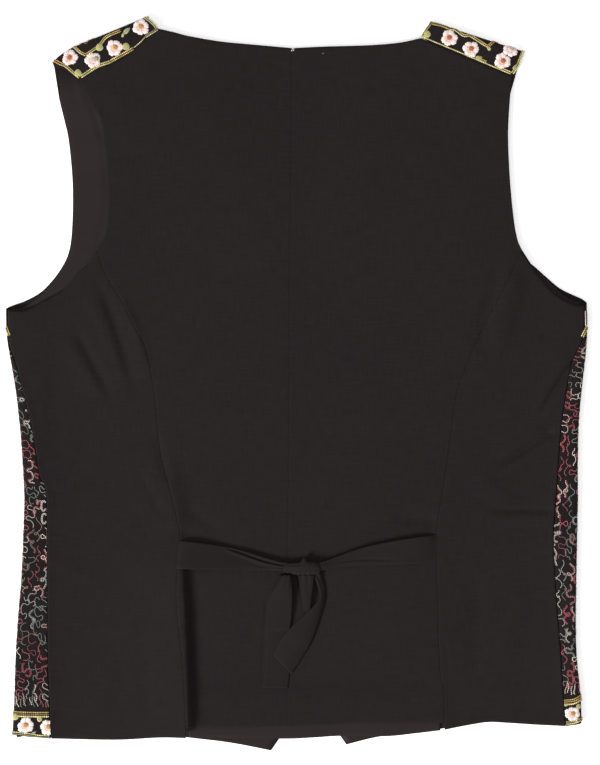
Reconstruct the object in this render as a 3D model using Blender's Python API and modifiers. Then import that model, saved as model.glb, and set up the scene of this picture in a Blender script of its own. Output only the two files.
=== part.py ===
"""A sleeveless folk vest laid face down: the plain back is up, and the embroidered fronts wrap over
the side folds and the shoulders onto the top. A waist tie is tied in a hanging bow.

X runs across the vest, Y up its length and Z up from the surface that it lies on. The sizes below are
in millimetres, and mesh points are turned into metres as they are written.
"""

import math
from typing import NamedTuple

import bpy
import numpy as np

MM = 0.001
WALL = 1.2
LINING_WALL = 1.0
TIE_WALL = 1.0
GAP = 0.3

# Heights of the upper faces of the cloth above the surface.
LINING_TOP = 2.5
FACING_TOP = 3.8
FLAT_TOP = 4.4
HEM_TOP = 5.5
HEM_RISE_Y = -232.0
HEM_RISE_SPREAD = 18.0
SIDE_TOP = 6.4
SHOULDER_TOP = 5.2
NECK_SAG = 2.8

# The rounded folds: how far the bend reaches inward from the fold, and how far the rise spreads.
FOLD_REACH = 4.0
ROUND_SETBACK = 0.7
SIDE_RISE_SPREAD = 45.0
SHOULDER_RISE_SPREAD = 30.0
SIDE_RISE_END = (60.0, 120.0)

# The centre front and its notch, hidden under the vest but for the two points at the hem.
CENTRE_FRONT_X = 10.0
NOTCH_TOP_Y = -244.0
NECK_BOTTOM_Y = 50.0

# Rows and columns of the cloth grids.
SEAM_ROWS = 19
ARMHOLE_ROWS = 8
FRONT_ARM_ROWS = 10
NECK_COLUMNS = 5
STRIP_COLUMNS = 3
ARC_COLUMNS = 6
FLAT_COLUMNS = 6
TOP_STRIP_ROWS = 3
MIN_STRIP = 1.5

# Side folds: y, x of the outermost line, from the hem to the underarm.
SIDE_FOLD_LEFT = [
    (-290, -226), (-250, -224), (-218, -223), (-186, -221), (-155, -218.5), (-123, -217), (-91, -216),
    (-60, -217.5), (-28, -220), (3, -224), (35, -229.5), (59, -230.5), (120, -231),
]
SIDE_FOLD_RIGHT = [
    (-290, 225), (-250, 224), (-218, 221), (-186, 220), (-123, 221), (-91, 221.6), (-60, 221.6),
    (-28, 222.5), (3, 225.5), (35, 228.7), (59, 228.7), (120, 229),
]

# Side seams, where the front's strip meets the side back panel: x, y from the hem to the underarm.
SIDE_SEAM_LEFT = [
    (-194.7, -280), (-196, -249), (-197.4, -210), (-197.8, -131), (-198.7, -85), (-204, -71),
    (-209.4, -36), (-217, -5), (-223, 16), (-227.4, 28), (-229.4, 43), (-229.6, 58.7),
]
SIDE_SEAM_RIGHT = [
    (211.7, -270), (210.2, -249), (207.8, -211), (204.2, -166), (202.2, -121), (205, -80), (208, -36),
    (212, -8), (216, 15), (221, 27), (226.6, 39), (227.6, 62),
]

# Princess seams: x, y from the centre back's hem to the armhole.
PRINCESS_LEFT = [
    (-88, -271.6), (-89, -249), (-90, -218), (-93, -202), (-96, -170), (-92, -123), (-94, -109),
    (-101, -80), (-109.5, -68), (-111, -17), (-119, 26), (-129, 46), (-139.5, 67), (-151, 85.5),
    (-158.4, 106),
]
PRINCESS_RIGHT = [
    (116.3, -267.6), (115.7, -241), (112.6, -225), (111, -170), (110, -119), (115, -84), (121, -44),
    (125, -12), (132, 11), (144, 39), (164, 78), (177.5, 106),
]

# The centre-back seam: x, y from the hem to the neck.
CENTRE_BACK = [(-7, -270.2), (-8, -249), (-6.7, -20), (-6, 67), (-4.3, 265.8)]

# Armhole edges of the back above the princess seams, up to the shoulder seam.
ARMHOLE_LEFT = [
    (-158.4, 106), (-151, 121), (-149, 149), (-150, 166), (-153, 194), (-156, 210), (-161, 219),
    (-167, 230), (-172.6, 241.1),
]
ARMHOLE_RIGHT = [
    (177.5, 106), (174, 114), (171, 130), (168, 161), (166.5, 193), (167, 212), (168, 226), (169.5, 243.5),
]

# Lower armhole edges of the side back panels, from the side seam to the princess seam.
UNDERARM_LEFT = [
    (-229.6, 58.7), (-214.5, 59), (-201, 66), (-184, 76), (-174, 88), (-166, 95), (-158.4, 106),
]
UNDERARM_RIGHT = [(227.6, 62), (216, 63), (208, 68), (202.6, 73), (194, 82.5), (184, 95), (177.5, 106)]

# Shoulder seams from the armhole to the neck, a point for each column of the back.
SHOULDER_LEFT = [
    (-172.6, 241.1), (-158.4, 249.2), (-147, 253.4), (-135.5, 259.3), (-121, 272), (-109.7, 281),
]
SHOULDER_RIGHT = [(169.5, 243.5), (155, 249.5), (141, 255.4), (126.5, 261.4), (112, 267.5), (97.6, 273.5)]

# Neck edges of the back from the shoulder seam to the centre back.
NECK_LEFT = [(-109.7, 281), (-97, 278), (-85, 275), (-61, 271), (-38, 268.8), (-4.3, 265.8)]
NECK_RIGHT = [(97.6, 273.5), (81, 270), (57, 268), (22, 267), (-4.3, 265.8)]

# Hem edges of the back panels, from the side to the centre.
SIDE_HEM_LEFT = [(-194.7, -280), (-144, -281), (-109, -279), (-88, -279)]
CENTRE_HEM_LEFT = [(-88, -271.6), (-45, -271.4), (-7, -270.2)]
CENTRE_HEM_RIGHT = [(116.3, -267.6), (70, -267.8), (37, -268.5), (-7, -270.2)]
SIDE_HEM_RIGHT = [(211.7, -270), (188, -269), (164, -267.5), (152, -267), (140, -268.5), (116.3, -273)]

# The facing under the centre back's hem: x and the y of its lower edge.
FACING_EDGE = [(-86, -279), (-13, -280.2), (10, -279.4), (34, -278), (70, -278.2), (93, -276), (113, -273.6)]
FACING_TOP_Y = -256.0

# Hem edges of the fronts, from the side fold to the front point.
FRONT_HEM_LEFT = [(-225, -277), (-180, -278.8), (-109, -278), (-73, -281), (-49, -284.2), (-21, -289.7)]
FRONT_HEM_RIGHT = [
    (224, -267.6), (188, -268), (152, -266), (114, -272.5), (70, -278), (57, -280.3), (38.6, -285),
]

# Armhole edges of the fronts, from the underarm to the shoulder fold: the left one is the silhouette.
FRONT_ARMHOLE_LEFT = [
    (-226, 62), (-213.7, 66.6), (-201, 74.5), (-188, 90), (-180.5, 106), (-178, 130), (-178, 161),
    (-181, 193), (-184.5, 209), (-188.4, 225),
]
FRONT_ARMHOLE_RIGHT = [
    (224.6, 67), (208, 74.5), (197, 83), (188, 91), (179, 99), (173.5, 112), (169.5, 130), (166.5, 161),
    (165.2, 193), (167, 225),
]

# Front neck edges from the centre front up to the shoulder fold, hidden under the back.
FRONT_NECK_LEFT = [(10, 50), (-28, 110), (-72, 190), (-106, 258)]
FRONT_NECK_RIGHT = [(10, 50), (46, 110), (80, 190), (100, 258)]


class ShoulderFold(NamedTuple):
    """The straight fold over a shoulder: its two ends, the seam's two ends on top, how far the bend
    reaches inward, and where the armhole edge crosses the fold, along it from the outer end."""

    outer: tuple[float, float]
    inner: tuple[float, float]
    outer_seam: tuple[float, float]
    inner_seam: tuple[float, float]
    reach: float
    edge_start: float


LEFT_SHOULDER = ShoulderFold((-192, 260.5), (-118, 291), SHOULDER_LEFT[0], SHOULDER_LEFT[-1], 3.5, -4.0)
RIGHT_SHOULDER = ShoulderFold((178.5, 263.2), (104.7, 287), SHOULDER_RIGHT[0], SHOULDER_RIGHT[-1], 3.5, 0.5)


class Crease(NamedTuple):
    """A soft ridge or trough of the back along a curve, with its own width on each side of it."""

    name: str
    start: tuple[float, float]
    bend: tuple[float, float]
    end: tuple[float, float]
    height: float
    left_width: float
    right_width: float
    fade_in: float
    fade_out: float


CREASES = [
    Crease("side roll", (-86, -285), (-92, -190), (-96, -96), 5.4, 34, 4.6, 0.0, 0.35),
    Crease("roll above the tie", (-92, -118), (-97, -90), (-110, -40), 1.8, 22, 9, 0.2, 0.5),
    Crease("armhole drag left", (-165, 78), (-148, 36), (-133, -10), 1.0, 6, 8, 0.25, 0.4),
    Crease("side drag left", (-184, 40), (-168, 10), (-150, -14), 0.9, 6, 7, 0.25, 0.4),
    Crease("side drag right", (216, 30), (200, 2), (186, -28), 1.0, 7, 6, 0.2, 0.4),
    Crease("waist drag right", (198, -32), (178, -45), (150, -66), 0.9, 6, 7, 0.25, 0.4),
    Crease("flat drag right", (148, -106), (178, -104), (206, -105), 0.7, 6, 5, 0.3, 0.3),
    Crease("armhole drag right", (176, 92), (160, 62), (150, 24), 1.1, 9, 10, 0.25, 0.4),
]

CLOTH = (0.021, 0.017, 0.018)
VELVET = (0.013, 0.010, 0.011)
LINING = (0.030, 0.022, 0.023)


def smooth(value):
    """A soft step from 0 to 1 over the range 0 to 1."""
    value = np.clip(value, 0.0, 1.0)
    return value * value * (3.0 - 2.0 * value)


def spline(points, fractions):
    """Points of a smooth curve through the given ones, at fractions of its length."""
    points = np.asarray(points, float)
    first = 2.0 * points[0] - points[1]
    last = 2.0 * points[-1] - points[-2]
    knots = np.vstack([first, points, last])
    steps = np.linspace(0.0, 1.0, 17)[:, None]
    pieces = []
    for a, b, c, d in zip(knots[:-3], knots[1:-2], knots[2:-1], knots[3:]):
        cubic = 2.0 * b + (c - a) * steps + (2.0 * a - 5.0 * b + 4.0 * c - d) * steps**2
        cubic = cubic + (3.0 * b - a - 3.0 * c + d) * steps**3
        pieces.append(0.5 * cubic)
    return along(np.vstack(pieces), fractions)


def along(points, fractions):
    """Points of the polyline through the given ones, at fractions of its length."""
    points = np.asarray(points, float)
    length = np.concatenate([[0.0], np.cumsum(np.linalg.norm(np.diff(points, axis=0), axis=1))])
    where = np.asarray(fractions, float) * length[-1]
    return np.stack([np.interp(where, length, column) for column in points.T], axis=-1)


def even(count):
    """Fractions from 0 to 1 for a number of points."""
    return np.linspace(0.0, 1.0, count)


def shifted(points, amount):
    """The curve moved sideways in plan, to the left of its direction where the amount is positive."""
    points = np.asarray(points, float)
    tangent = np.gradient(points, axis=0)
    tangent = tangent / np.linalg.norm(tangent, axis=1, keepdims=True)
    normal = np.stack([-tangent[:, 1], tangent[:, 0]], axis=1)
    return points + amount * normal


def coons(left, right, bottom, top, fractions, reach=None):
    """A patch between four edges: rows run from the left edge to the right one at the given fractions,
    and the bottom and top edges bend the rows near them. The reach gives each row's share of the top
    edge, where it isn't even."""
    left = np.asarray(left, float)
    right = np.asarray(right, float)
    rows = len(left)
    fractions = np.broadcast_to(fractions, (rows, np.shape(fractions)[-1]))
    up = np.concatenate([[0.0], np.cumsum(np.linalg.norm(np.diff(right, axis=0), axis=1))])
    up = (up / up[-1])[:, None, None]
    share = fractions[..., None]
    straight = left[:, None] * (1.0 - share) + right[:, None] * share
    low, high = (
        edge_line(fractions) - edge_line(0.0) * (1.0 - share) - edge_line(1.0) * share
        for edge_line in (bottom, top)
    )
    top_share = up if reach is None else np.asarray(reach)[:, None, None]
    return straight + (1.0 - up) ** 2 * low + top_share * high


def edge(points, curve=spline):
    """An edge as a function of fractions, for a patch."""
    return lambda fractions: curve(points, fractions)


def fold_x(side, y):
    """The x of a side fold at each y. Side is -1 on the left and 1 on the right."""
    table = SIDE_FOLD_LEFT if side < 0 else SIDE_FOLD_RIGHT
    line = spline(table, even(241))
    return np.interp(y, line[:, 0], line[:, 1])


def shoulder_frame(fold):
    """Unit vectors along a shoulder fold from the armhole to the neck, and outward across it."""
    direction = np.subtract(fold.inner, fold.outer)
    direction = direction / np.linalg.norm(direction)
    outward = np.array([-direction[1], direction[0]])
    return direction, outward if outward[1] > 0 else -outward


def crease_height(crease, x, y):
    """The height of one crease at each point, from the nearest point of its curve."""
    t = even(41)[:, None]
    curve = (1 - t) ** 2 * np.array(crease.start) + 2 * t * (1 - t) * np.array(crease.bend)
    curve = curve + t**2 * np.array(crease.end)
    tangent = np.gradient(curve, axis=0)
    tangent = tangent / np.linalg.norm(tangent, axis=1, keepdims=True)
    away = np.stack([x, y], axis=-1)[..., None, :] - curve
    nearest = np.argmin((away**2).sum(-1), axis=-1)
    offset = np.take_along_axis(away, nearest[..., None, None], axis=-2)[..., 0, :]
    heading = tangent[nearest]
    across = heading[..., 0] * offset[..., 1] - heading[..., 1] * offset[..., 0]
    place = t[nearest, 0]
    width = np.where(across > 0, crease.left_width, crease.right_width)
    fade = np.ones_like(place)
    if crease.fade_in > 0:
        fade = fade * smooth(place / crease.fade_in)
    if crease.fade_out > 0:
        fade = fade * smooth((1.0 - place) / crease.fade_out)
    return crease.height * fade * np.exp(-((across / width) ** 2))


def neck_sag(x, y):
    """How far the back sinks where no front lies under it, inside the front's open neck."""
    half = np.interp(y, [NECK_BOTTOM_Y, 290.0], [0.0, 112.0])
    middle = np.interp(y, [NECK_BOTTOM_Y, 290.0], [CENTRE_FRONT_X, -6.0])
    return NECK_SAG * smooth((half - np.abs(x - middle) - 6.0) / 34.0)


def top_height(x, y):
    """The upper face of the whole vest: flat in the middle, higher at the folds, with its creases."""
    x = np.asarray(x, float)
    y = np.asarray(y, float)
    height = np.full(x.shape, FLAT_TOP)
    low = 1.0 - smooth((y - SIDE_RISE_END[0]) / (SIDE_RISE_END[1] - SIDE_RISE_END[0]))
    for side in (-1, 1):
        inward = side * (fold_x(side, y) - x) - FOLD_REACH
        height = height + (SIDE_TOP - FLAT_TOP) * low * smooth(1.0 - inward / SIDE_RISE_SPREAD)
    for fold in (LEFT_SHOULDER, RIGHT_SHOULDER):
        _, outward = shoulder_frame(fold)
        depth = -((x - fold.outer[0]) * outward[0] + (y - fold.outer[1]) * outward[1]) - fold.reach
        near = (x * fold.outer[0] > 0) & (y > 180.0)
        height = height + near * (SHOULDER_TOP - FLAT_TOP) * smooth(1.0 - depth / SHOULDER_RISE_SPREAD)
    centre = smooth((x + 96.0) / 12.0) * smooth((128.0 - x) / 16.0)
    height = height + (HEM_TOP - FLAT_TOP) * centre * smooth((HEM_RISE_Y - y) / HEM_RISE_SPREAD)
    height = height - neck_sag(x, y)
    for crease in CREASES:
        height = height + crease_height(crease, x, y)
    for side in (-1, 1):
        past = np.clip((x - fold_x(side, y)) * side / FOLD_REACH + 1.0, 0.0, 1.0)
        round_off = 0.5 * SIDE_TOP * (1.0 - np.sqrt(1.0 - past**2))
        height = height - low * round_off
    return height


def fold_arc(reach, height):
    """The length of a fold's half-round section."""
    return math.pi * 0.5 * (reach + 0.5 * height)


SIDE_ARC = fold_arc(FOLD_REACH, SIDE_TOP)


def unroll_side(side, seam):
    """Where a seam point on top lies in the flat pattern, beyond the side fold."""
    seam = np.asarray(seam, float)
    start = fold_x(side, seam[:, 1]) - side * FOLD_REACH
    inward = (start - seam[:, 0]) * side
    turned = math.pi - np.arcsin(np.clip(-inward / FOLD_REACH, 0.0, 1.0))
    extra = np.where(inward > 0, SIDE_ARC + inward, SIDE_ARC * turned / math.pi)
    return np.stack([start + side * extra, seam[:, 1]], axis=1), extra


def unroll_shoulder(fold, point):
    """Where a seam point on top lies in the flat pattern, beyond the shoulder fold."""
    direction, outward = shoulder_frame(fold)
    offset = np.subtract(point, fold.outer)
    depth = -offset @ outward - fold.reach
    beyond = fold_arc(fold.reach, SHOULDER_TOP) + depth - fold.reach
    return np.array(fold.outer) + (offset @ direction) * direction + beyond * outward


def roll_side(side, plan):
    """The flat pattern bent round a side fold: flat below, half round at the fold and flat on top."""
    x, y = plan[..., 0], plan[..., 1]
    start = fold_x(side, y) - side * FOLD_REACH
    extra = (x - start) * side
    turn = np.clip(extra / SIDE_ARC, 0.0, 1.0) * math.pi
    past = np.clip(extra - SIDE_ARC, 0.0, None)
    new_x = np.where(extra > 0, start + side * (FOLD_REACH * np.sin(turn) - past), x)
    rounded = 0.5 * SIDE_TOP * (1.0 - np.cos(turn))
    on_top = top_height(new_x, y)
    z = np.where(extra >= SIDE_ARC, on_top, np.where(extra > 0, rounded, 0.0))
    return np.stack([new_x, y, z], axis=-1)


def roll_shoulder(fold, points):
    """The same over a shoulder fold, for points that still lie flat."""
    direction, outward = shoulder_frame(fold)
    offset = points[..., :2] - np.array(fold.outer)
    across = offset @ outward
    lengthways = offset @ direction
    arc = fold_arc(fold.reach, SHOULDER_TOP)
    extra = across + fold.reach
    turn = np.clip(extra / arc, 0.0, 1.0) * math.pi
    past = np.clip(extra - arc, 0.0, None)
    new_across = -fold.reach + fold.reach * np.sin(turn) - past
    plan = np.array(fold.outer) + lengthways[..., None] * direction + new_across[..., None] * outward
    rounded = 0.5 * SHOULDER_TOP * (1.0 - np.cos(turn))
    z = np.where(extra >= arc, top_height(plan[..., 0], plan[..., 1]), rounded)
    bent = (extra > 0) & (points[..., 1] > 200.0)
    moved = np.concatenate([plan, z[..., None]], axis=-1)
    return np.where(bent[..., None], moved, points)


def material(name, colour, roughness):
    """One finish for one piece."""
    made = bpy.data.materials.new(name)
    made.use_nodes = True
    shader = made.node_tree.nodes["Principled BSDF"]
    shader.inputs["Base Color"].default_value = (*colour, 1.0)
    shader.inputs["Roughness"].default_value = roughness
    shader.inputs["Metallic"].default_value = 0.0
    return made


def add_object(name, mesh, collection, colour, roughness):
    """The mesh as a named sub-part with its own finish."""
    mesh.materials.append(material(name, colour, roughness))
    mesh.shade_smooth()
    made = bpy.data.objects.new(name, mesh)
    collection.objects.link(made)
    return made


def grid_mesh(name, points, upward):
    """An open mesh over a grid of points in millimetres. Its faces look up or down as asked."""
    rows, columns = points.shape[:2]
    index = np.arange(rows * columns).reshape(rows, columns)
    quads = np.stack([index[:-1, :-1], index[:-1, 1:], index[1:, 1:], index[1:, :-1]], axis=-1)
    quads = quads.reshape(-1, 4)
    first = points[0, 1] - points[0, 0]
    second = points[1, 0] - points[0, 0]
    faces_up = np.cross(first, second)[2] > 0
    if faces_up != upward:
        quads = quads[:, ::-1]
    mesh = bpy.data.meshes.new(name)
    mesh.from_pydata((points.reshape(-1, 3) * MM).tolist(), [], quads.tolist())
    mesh.validate()
    return mesh


def cloth(name, points, collection, colour=CLOTH, wall=WALL, upward=True):
    """A piece of cloth: the grid is its outer face, and the wall lies behind it."""
    made = add_object(name, grid_mesh(name, points, upward), collection, colour, 0.9)
    solidify = made.modifiers.new("Wall", "SOLIDIFY")
    solidify.thickness = wall * MM
    solidify.offset = -1.0
    return made


def raised(plan, extra=0.0):
    """Plan points put on the vest's upper face, or a given height above it."""
    return np.concatenate([plan, (top_height(plan[..., 0], plan[..., 1]) + extra)[..., None]], axis=-1)


def graded(near, count):
    """Fractions from 0 to 1 that start with the given small ones and go on evenly."""
    return np.concatenate([near, np.linspace(near[-1], 1.0, count)[1:]])


def centre_back_rows(princess, armhole):
    """The outer edge of a centre back panel, and the centre-back seam at the same heights."""
    outer = np.vstack([spline(princess, even(SEAM_ROWS)), spline(armhole, even(ARMHOLE_ROWS + 1))[1:]])
    line = spline(CENTRE_BACK, even(241))
    height = line[0, 1] + (line[-1, 1] - line[0, 1]) * even(len(outer))
    return outer, np.stack([np.interp(height, line[:, 1], line[:, 0]), height], axis=1)


def centre_back(name, side, princess, armhole, shoulder, neck, hem, near, collection):
    """A centre back panel, from its princess seam and armhole to the centre-back seam."""
    outer, middle = centre_back_rows(princess, armhole)
    half = 0.5 * GAP
    outer = shifted(outer, side * half)
    middle = shifted(middle, -side * half)
    shoulder_points = np.array(shoulder, float) + np.array([0.0, -half])
    neck_points = spline(neck, even(NECK_COLUMNS + 1))[1:]
    top_points = np.vstack([shoulder_points, neck_points])
    hem_share = graded(near, len(top_points) + 1 - len(near))
    top_length = np.concatenate([[0.0], np.cumsum(np.linalg.norm(np.diff(top_points, axis=0), axis=1))])
    top_share = top_length / top_length[-1]
    rise = smooth(even(len(outer)) ** 2)[:, None]
    fractions = hem_share * (1.0 - rise) + top_share * rise
    plan = coons(outer, middle, edge(hem), edge(top_points, along), fractions)
    return cloth(name, raised(plan), collection)


def side_seam_rows(side):
    """The side seam's points, shared by the side back panel and the front's strip."""
    seam = SIDE_SEAM_LEFT if side < 0 else SIDE_SEAM_RIGHT
    return spline(seam, even(SEAM_ROWS + 1))


def side_back(name, side, princess, underarm, hem, collection):
    """A side back panel, from the side seam to the princess seam. Its side edge stands a little further
    back where the seam lies on the round of the fold."""
    half = 0.5 * GAP
    seam = side_seam_rows(side)
    inward = (fold_x(side, seam[:, 1]) - seam[:, 0]) * side
    outer = shifted(seam, side * half)
    outer[:, 0] -= side * ROUND_SETBACK * smooth(1.0 - (inward - 2.0) / FOLD_REACH)
    inner = spline(princess, even(SEAM_ROWS))
    inner = np.vstack([np.array([hem[-1]], float), inner])
    inner = shifted(inner, -side * (half + 0.05))
    share = graded([0.0, 0.02, 0.06, 0.13], 8)
    plan = coons(outer, inner, edge(hem), edge(underarm), share)
    return cloth(name, raised(plan), collection)


def front_rows(side, fold, hem, armhole, neck):
    """The flat pattern's outer and inner edges, and the lengths that wrap round the side fold."""
    seam, extra = unroll_side(side, shifted(side_seam_rows(side), -side * 0.5 * GAP))
    direction, outward = shoulder_frame(fold)
    origin = np.array(fold.outer)
    arc = fold_arc(fold.reach, SHOULDER_TOP)
    gap = 0.5 * GAP * outward
    seam_outer = unroll_shoulder(fold, fold.outer_seam) - gap
    seam_inner = unroll_shoulder(fold, fold.inner_seam) - gap
    arm = spline(armhole, even(FRONT_ARM_ROWS) ** 1.5)
    heights = np.array([-fold.reach, *(-fold.reach + arc * even(6)[1:])])
    ends = even(TOP_STRIP_ROWS + 1)[1:]
    outer_wrap = origin + fold.edge_start * direction + heights[:, None] * outward
    outer_strip = outer_wrap[-1] + (seam_outer - outer_wrap[-1]) * ends[:, None]
    span = np.linalg.norm(np.subtract(fold.inner, fold.outer))
    inner_wrap = origin + span * direction + heights[:, None] * outward
    inner_strip = inner_wrap[-1] + (seam_inner - inner_wrap[-1]) * ends[:, None]
    outer = np.vstack([seam, arm, outer_wrap, outer_strip])
    middle = CENTRE_FRONT_X + side * 0.5 * GAP
    point = np.array([hem[-1], (middle, NOTCH_TOP_Y)], float)
    notch = along(point, even(3))
    centre = np.linspace(NOTCH_TOP_Y, NECK_BOTTOM_Y, len(seam) - 2)[1:]
    centre = np.stack([np.full(len(centre), middle), centre], axis=1)
    collar = spline([(middle, NECK_BOTTOM_Y), *neck[1:]], even(len(arm) + 1))[1:]
    inner = np.vstack([notch, centre, collar, inner_wrap, inner_strip])
    return outer, inner, extra, len(seam), len(arm)


def wrap_fractions(outer, inner, extra, wrapped, arm):
    """Column fractions of each row: narrow ones on the strip and round the fold, wide ones below, and
    even ones at the shoulder."""
    width = np.linalg.norm(inner - outer, axis=1)
    strip = np.full(len(outer), MIN_STRIP)
    bend = np.full(len(outer), SIDE_ARC)
    strip[:wrapped] = np.maximum(extra - SIDE_ARC, MIN_STRIP)
    bend[:wrapped] = np.minimum(extra - MIN_STRIP, SIDE_ARC)
    on_strip = even(STRIP_COLUMNS + 1)[None, :] * strip[:, None]
    on_bend = strip[:, None] + even(ARC_COLUMNS + 1)[None, 1:] * bend[:, None]
    rest = (width - strip - bend)[:, None]
    below = (strip + bend)[:, None] + even(FLAT_COLUMNS + 1)[None, 1:] * rest
    fractions = np.concatenate([on_strip, on_bend, below], axis=1) / width[:, None]
    blend = smooth((np.arange(len(outer)) - wrapped) / (arm - 1.0))[:, None]
    return fractions * (1.0 - blend) + even(fractions.shape[1]) * blend


def hem_pattern(corner, hem):
    """The front's hem in the flat pattern: from the side seam's corner across the strip to the fold, and
    on below."""
    between = 0.5 * (np.asarray(corner) + np.asarray(hem[0], float))
    return [corner, between, *hem]


def front(name, side, fold, hem, armhole, neck, shoulder, collection):
    """A front shell: its flat pattern bent round the side fold and over the shoulder fold."""
    outer, inner, extra, wrapped, arm = front_rows(side, fold, hem, armhole, neck)
    fractions = wrap_fractions(outer, inner, extra, wrapped, arm)
    gap = 0.5 * GAP * shoulder_frame(fold)[1]
    seam = [unroll_shoulder(fold, point) - gap for point in shoulder]
    strip_rows = len(outer) - 1 - np.arange(len(outer))
    reach = np.clip(1.0 - strip_rows / TOP_STRIP_ROWS, 0.0, 1.0)
    plan = coons(outer, inner, edge(hem_pattern(outer[0], hem)), edge(seam, along), fractions, reach)
    points = roll_shoulder(fold, roll_side(side, plan))
    return cloth(name, points, collection, VELVET), (outer, inner, wrapped, arm)


def front_lining(name, side, fold, edges, hem, collection):
    """The lining of a front: flat on it, inside its folds and just inside its free edges."""
    outer, inner, wrapped, arm = edges
    inset = 0.7
    clear = 3.4
    rows = wrapped + arm
    outer = outer[:rows].copy()
    outer[:wrapped, 0] = fold_x(side, outer[:wrapped, 1]) - side * clear
    outer[0, 1] = hem[0][1] + inset
    outer[wrapped - 1] += np.array([-side * 3.0, -2.0])
    outer[wrapped:, 0] -= side * inset
    outer[wrapped : wrapped + 2] += np.array([-side * 4.0, -2.5])
    inner = inner[:rows].copy()
    inner[:, 0] += side * inset
    inner[0] += np.array([side * 0.2, 1.2])
    direction, outward = shoulder_frame(fold)
    low = -(fold.reach + 1.5) * outward
    outer = np.vstack([outer, np.array(fold.outer) + low + 1.0 * direction])
    inner = np.vstack([inner, np.array(fold.inner) + low - 1.0 * direction])
    keep = [0, 1, 2, *range(4, wrapped - 1, 2), *range(wrapped - 1, len(outer))]
    inner_hem = np.array(hem, float) + np.array([0.0, inset])
    inner_hem[0, 0] = outer[0, 0]
    inner_hem[-1] = inner[0]
    outer = outer[keep]
    inner = inner[keep]
    plan = coons(outer, inner, edge(inner_hem), edge([outer[-1], inner[-1]], along), even(7))
    points = np.concatenate([plan, np.full((*plan.shape[:2], 1), LINING_TOP)], axis=-1)
    return cloth(name, points, collection, LINING, LINING_WALL)


def hem_facing(collection):
    """The strip that shows under the centre back's hem."""
    low = spline(FACING_EDGE, even(13))
    high = np.stack([low[:, 0], np.full(len(low), FACING_TOP_Y)], axis=1)
    share = even(3)[:, None, None]
    plan = low[None] * (1.0 - share) + high[None] * share
    points = np.concatenate([plan, np.full((*plan.shape[:2], 1), FACING_TOP)], axis=-1)
    return cloth("back_hem_facing", points, collection, LINING, LINING_WALL)


class TieSection(NamedTuple):
    """A section across a tie: its two edges in plan, how far it lies above the flat back and how much
    its middle bulges."""

    first: tuple[float, float]
    second: tuple[float, float]
    lift: float
    bulge: float


TIE_LEFT = [
    TieSection((-91.2, -123.8), (-92.8, -146.0), 0.6, 0.0),
    TieSection((-86.0, -125.0), (-86.6, -146.2), 0.8, 0.1),
    TieSection((-78.0, -126.2), (-78.0, -146.4), 0.6, 0.2),
    TieSection((-62.0, -128.6), (-62.0, -146.7), 0.2, 0.3),
    TieSection((-40.0, -132.6), (-40.0, -146.9), 0.2, 0.5),
    TieSection((-22.0, -138.0), (-22.0, -146.9), 1.0, 0.8),
    TieSection((-11.9, -141.4), (-11.9, -147.6), 2.3, 1.0),
]
TIE_RIGHT = [
    TieSection((109.6, -118.6), (110.2, -140.6), 0.1, 0.0),
    TieSection((96.0, -120.6), (96.0, -141.8), 0.1, 0.2),
    TieSection((76.0, -123.8), (76.0, -142.6), 0.1, 0.3),
    TieSection((52.0, -128.8), (52.0, -143.4), 0.2, 0.5),
    TieSection((32.0, -135.8), (32.0, -144.4), 1.0, 0.8),
    TieSection((20.0, -140.6), (20.0, -147.0), 2.3, 1.0),
]
TAIL_LEFT = [
    TieSection((-14.0, -152.4), (-4.0, -152.4), 0.2, 0.2),
    TieSection((-20.6, -161.0), (-5.2, -161.0), 0.1, 0.2),
    TieSection((-24.4, -177.0), (-5.4, -177.0), 0.1, 0.1),
    TieSection((-24.6, -203.0), (-5.4, -203.0), 0.1, 0.1),
    TieSection((-25.6, -227.0), (-6.2, -227.0), 0.1, 0.1),
    TieSection((-28.0, -239.6), (-7.6, -240.4), 0.1, 0.1),
]
TAIL_RIGHT = [
    TieSection((13.6, -152.4), (18.2, -152.4), 3.7, 0.2),
    TieSection((16.4, -161.0), (22.5, -161.0), 3.9, 0.3),
    TieSection((17.4, -168.4), (21.6, -171.8), 4.2, 0.4),
    TieSection((10.0, -177.6), (18.4, -182.6), 4.3, 0.5),
    TieSection((-4.3, -191.0), (11.0, -203.0), 4.2, 0.5),
    TieSection((-13.8, -202.2), (3.6, -216.3), 3.0, 0.4),
    TieSection((-18.4, -212.6), (-3.8, -226.8), 1.8, 0.3),
    TieSection((-18.6, -214.6), (-5.2, -229.0), 1.6, 0.2),
]


class LoopSection(NamedTuple):
    """A section of a bow loop along its run: y, its two side edges, and its outer face above the flat
    back."""

    y: float
    first_x: float
    second_x: float
    height: float


LOOP_LEFT = [
    LoopSection(-152.4, -14.6, -4.8, 2.2),
    LoopSection(-166.0, -18.6, -5.2, 1.9),
    LoopSection(-182.0, -21.4, -5.6, 1.8),
    LoopSection(-191.0, -22.6, -5.8, 2.0),
    LoopSection(-193.8, -22.8, -5.8, 3.3),
    LoopSection(-191.4, -22.6, -5.8, 4.8),
    LoopSection(-180.0, -21.4, -5.6, 5.9),
    LoopSection(-166.0, -18.6, -5.2, 6.4),
    LoopSection(-152.4, -14.6, -4.8, 5.6),
]
LOOP_RIGHT = [
    LoopSection(-152.4, 1.0, 12.8, 0.6),
    LoopSection(-163.0, 2.6, 11.2, 0.4),
    LoopSection(-172.0, 3.8, 10.4, 0.4),
    LoopSection(-177.6, 4.6, 9.8, 0.6),
    LoopSection(-179.6, 4.8, 9.6, 1.8),
    LoopSection(-177.4, 4.6, 9.8, 3.1),
    LoopSection(-169.0, 3.4, 10.8, 4.0),
    LoopSection(-152.4, 1.0, 12.8, 4.8),
]

KNOT_CENTRE = (4.0, -145.9, 8.3)
KNOT_SIDES = 14
KNOT_SQUARENESS = 0.75

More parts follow.
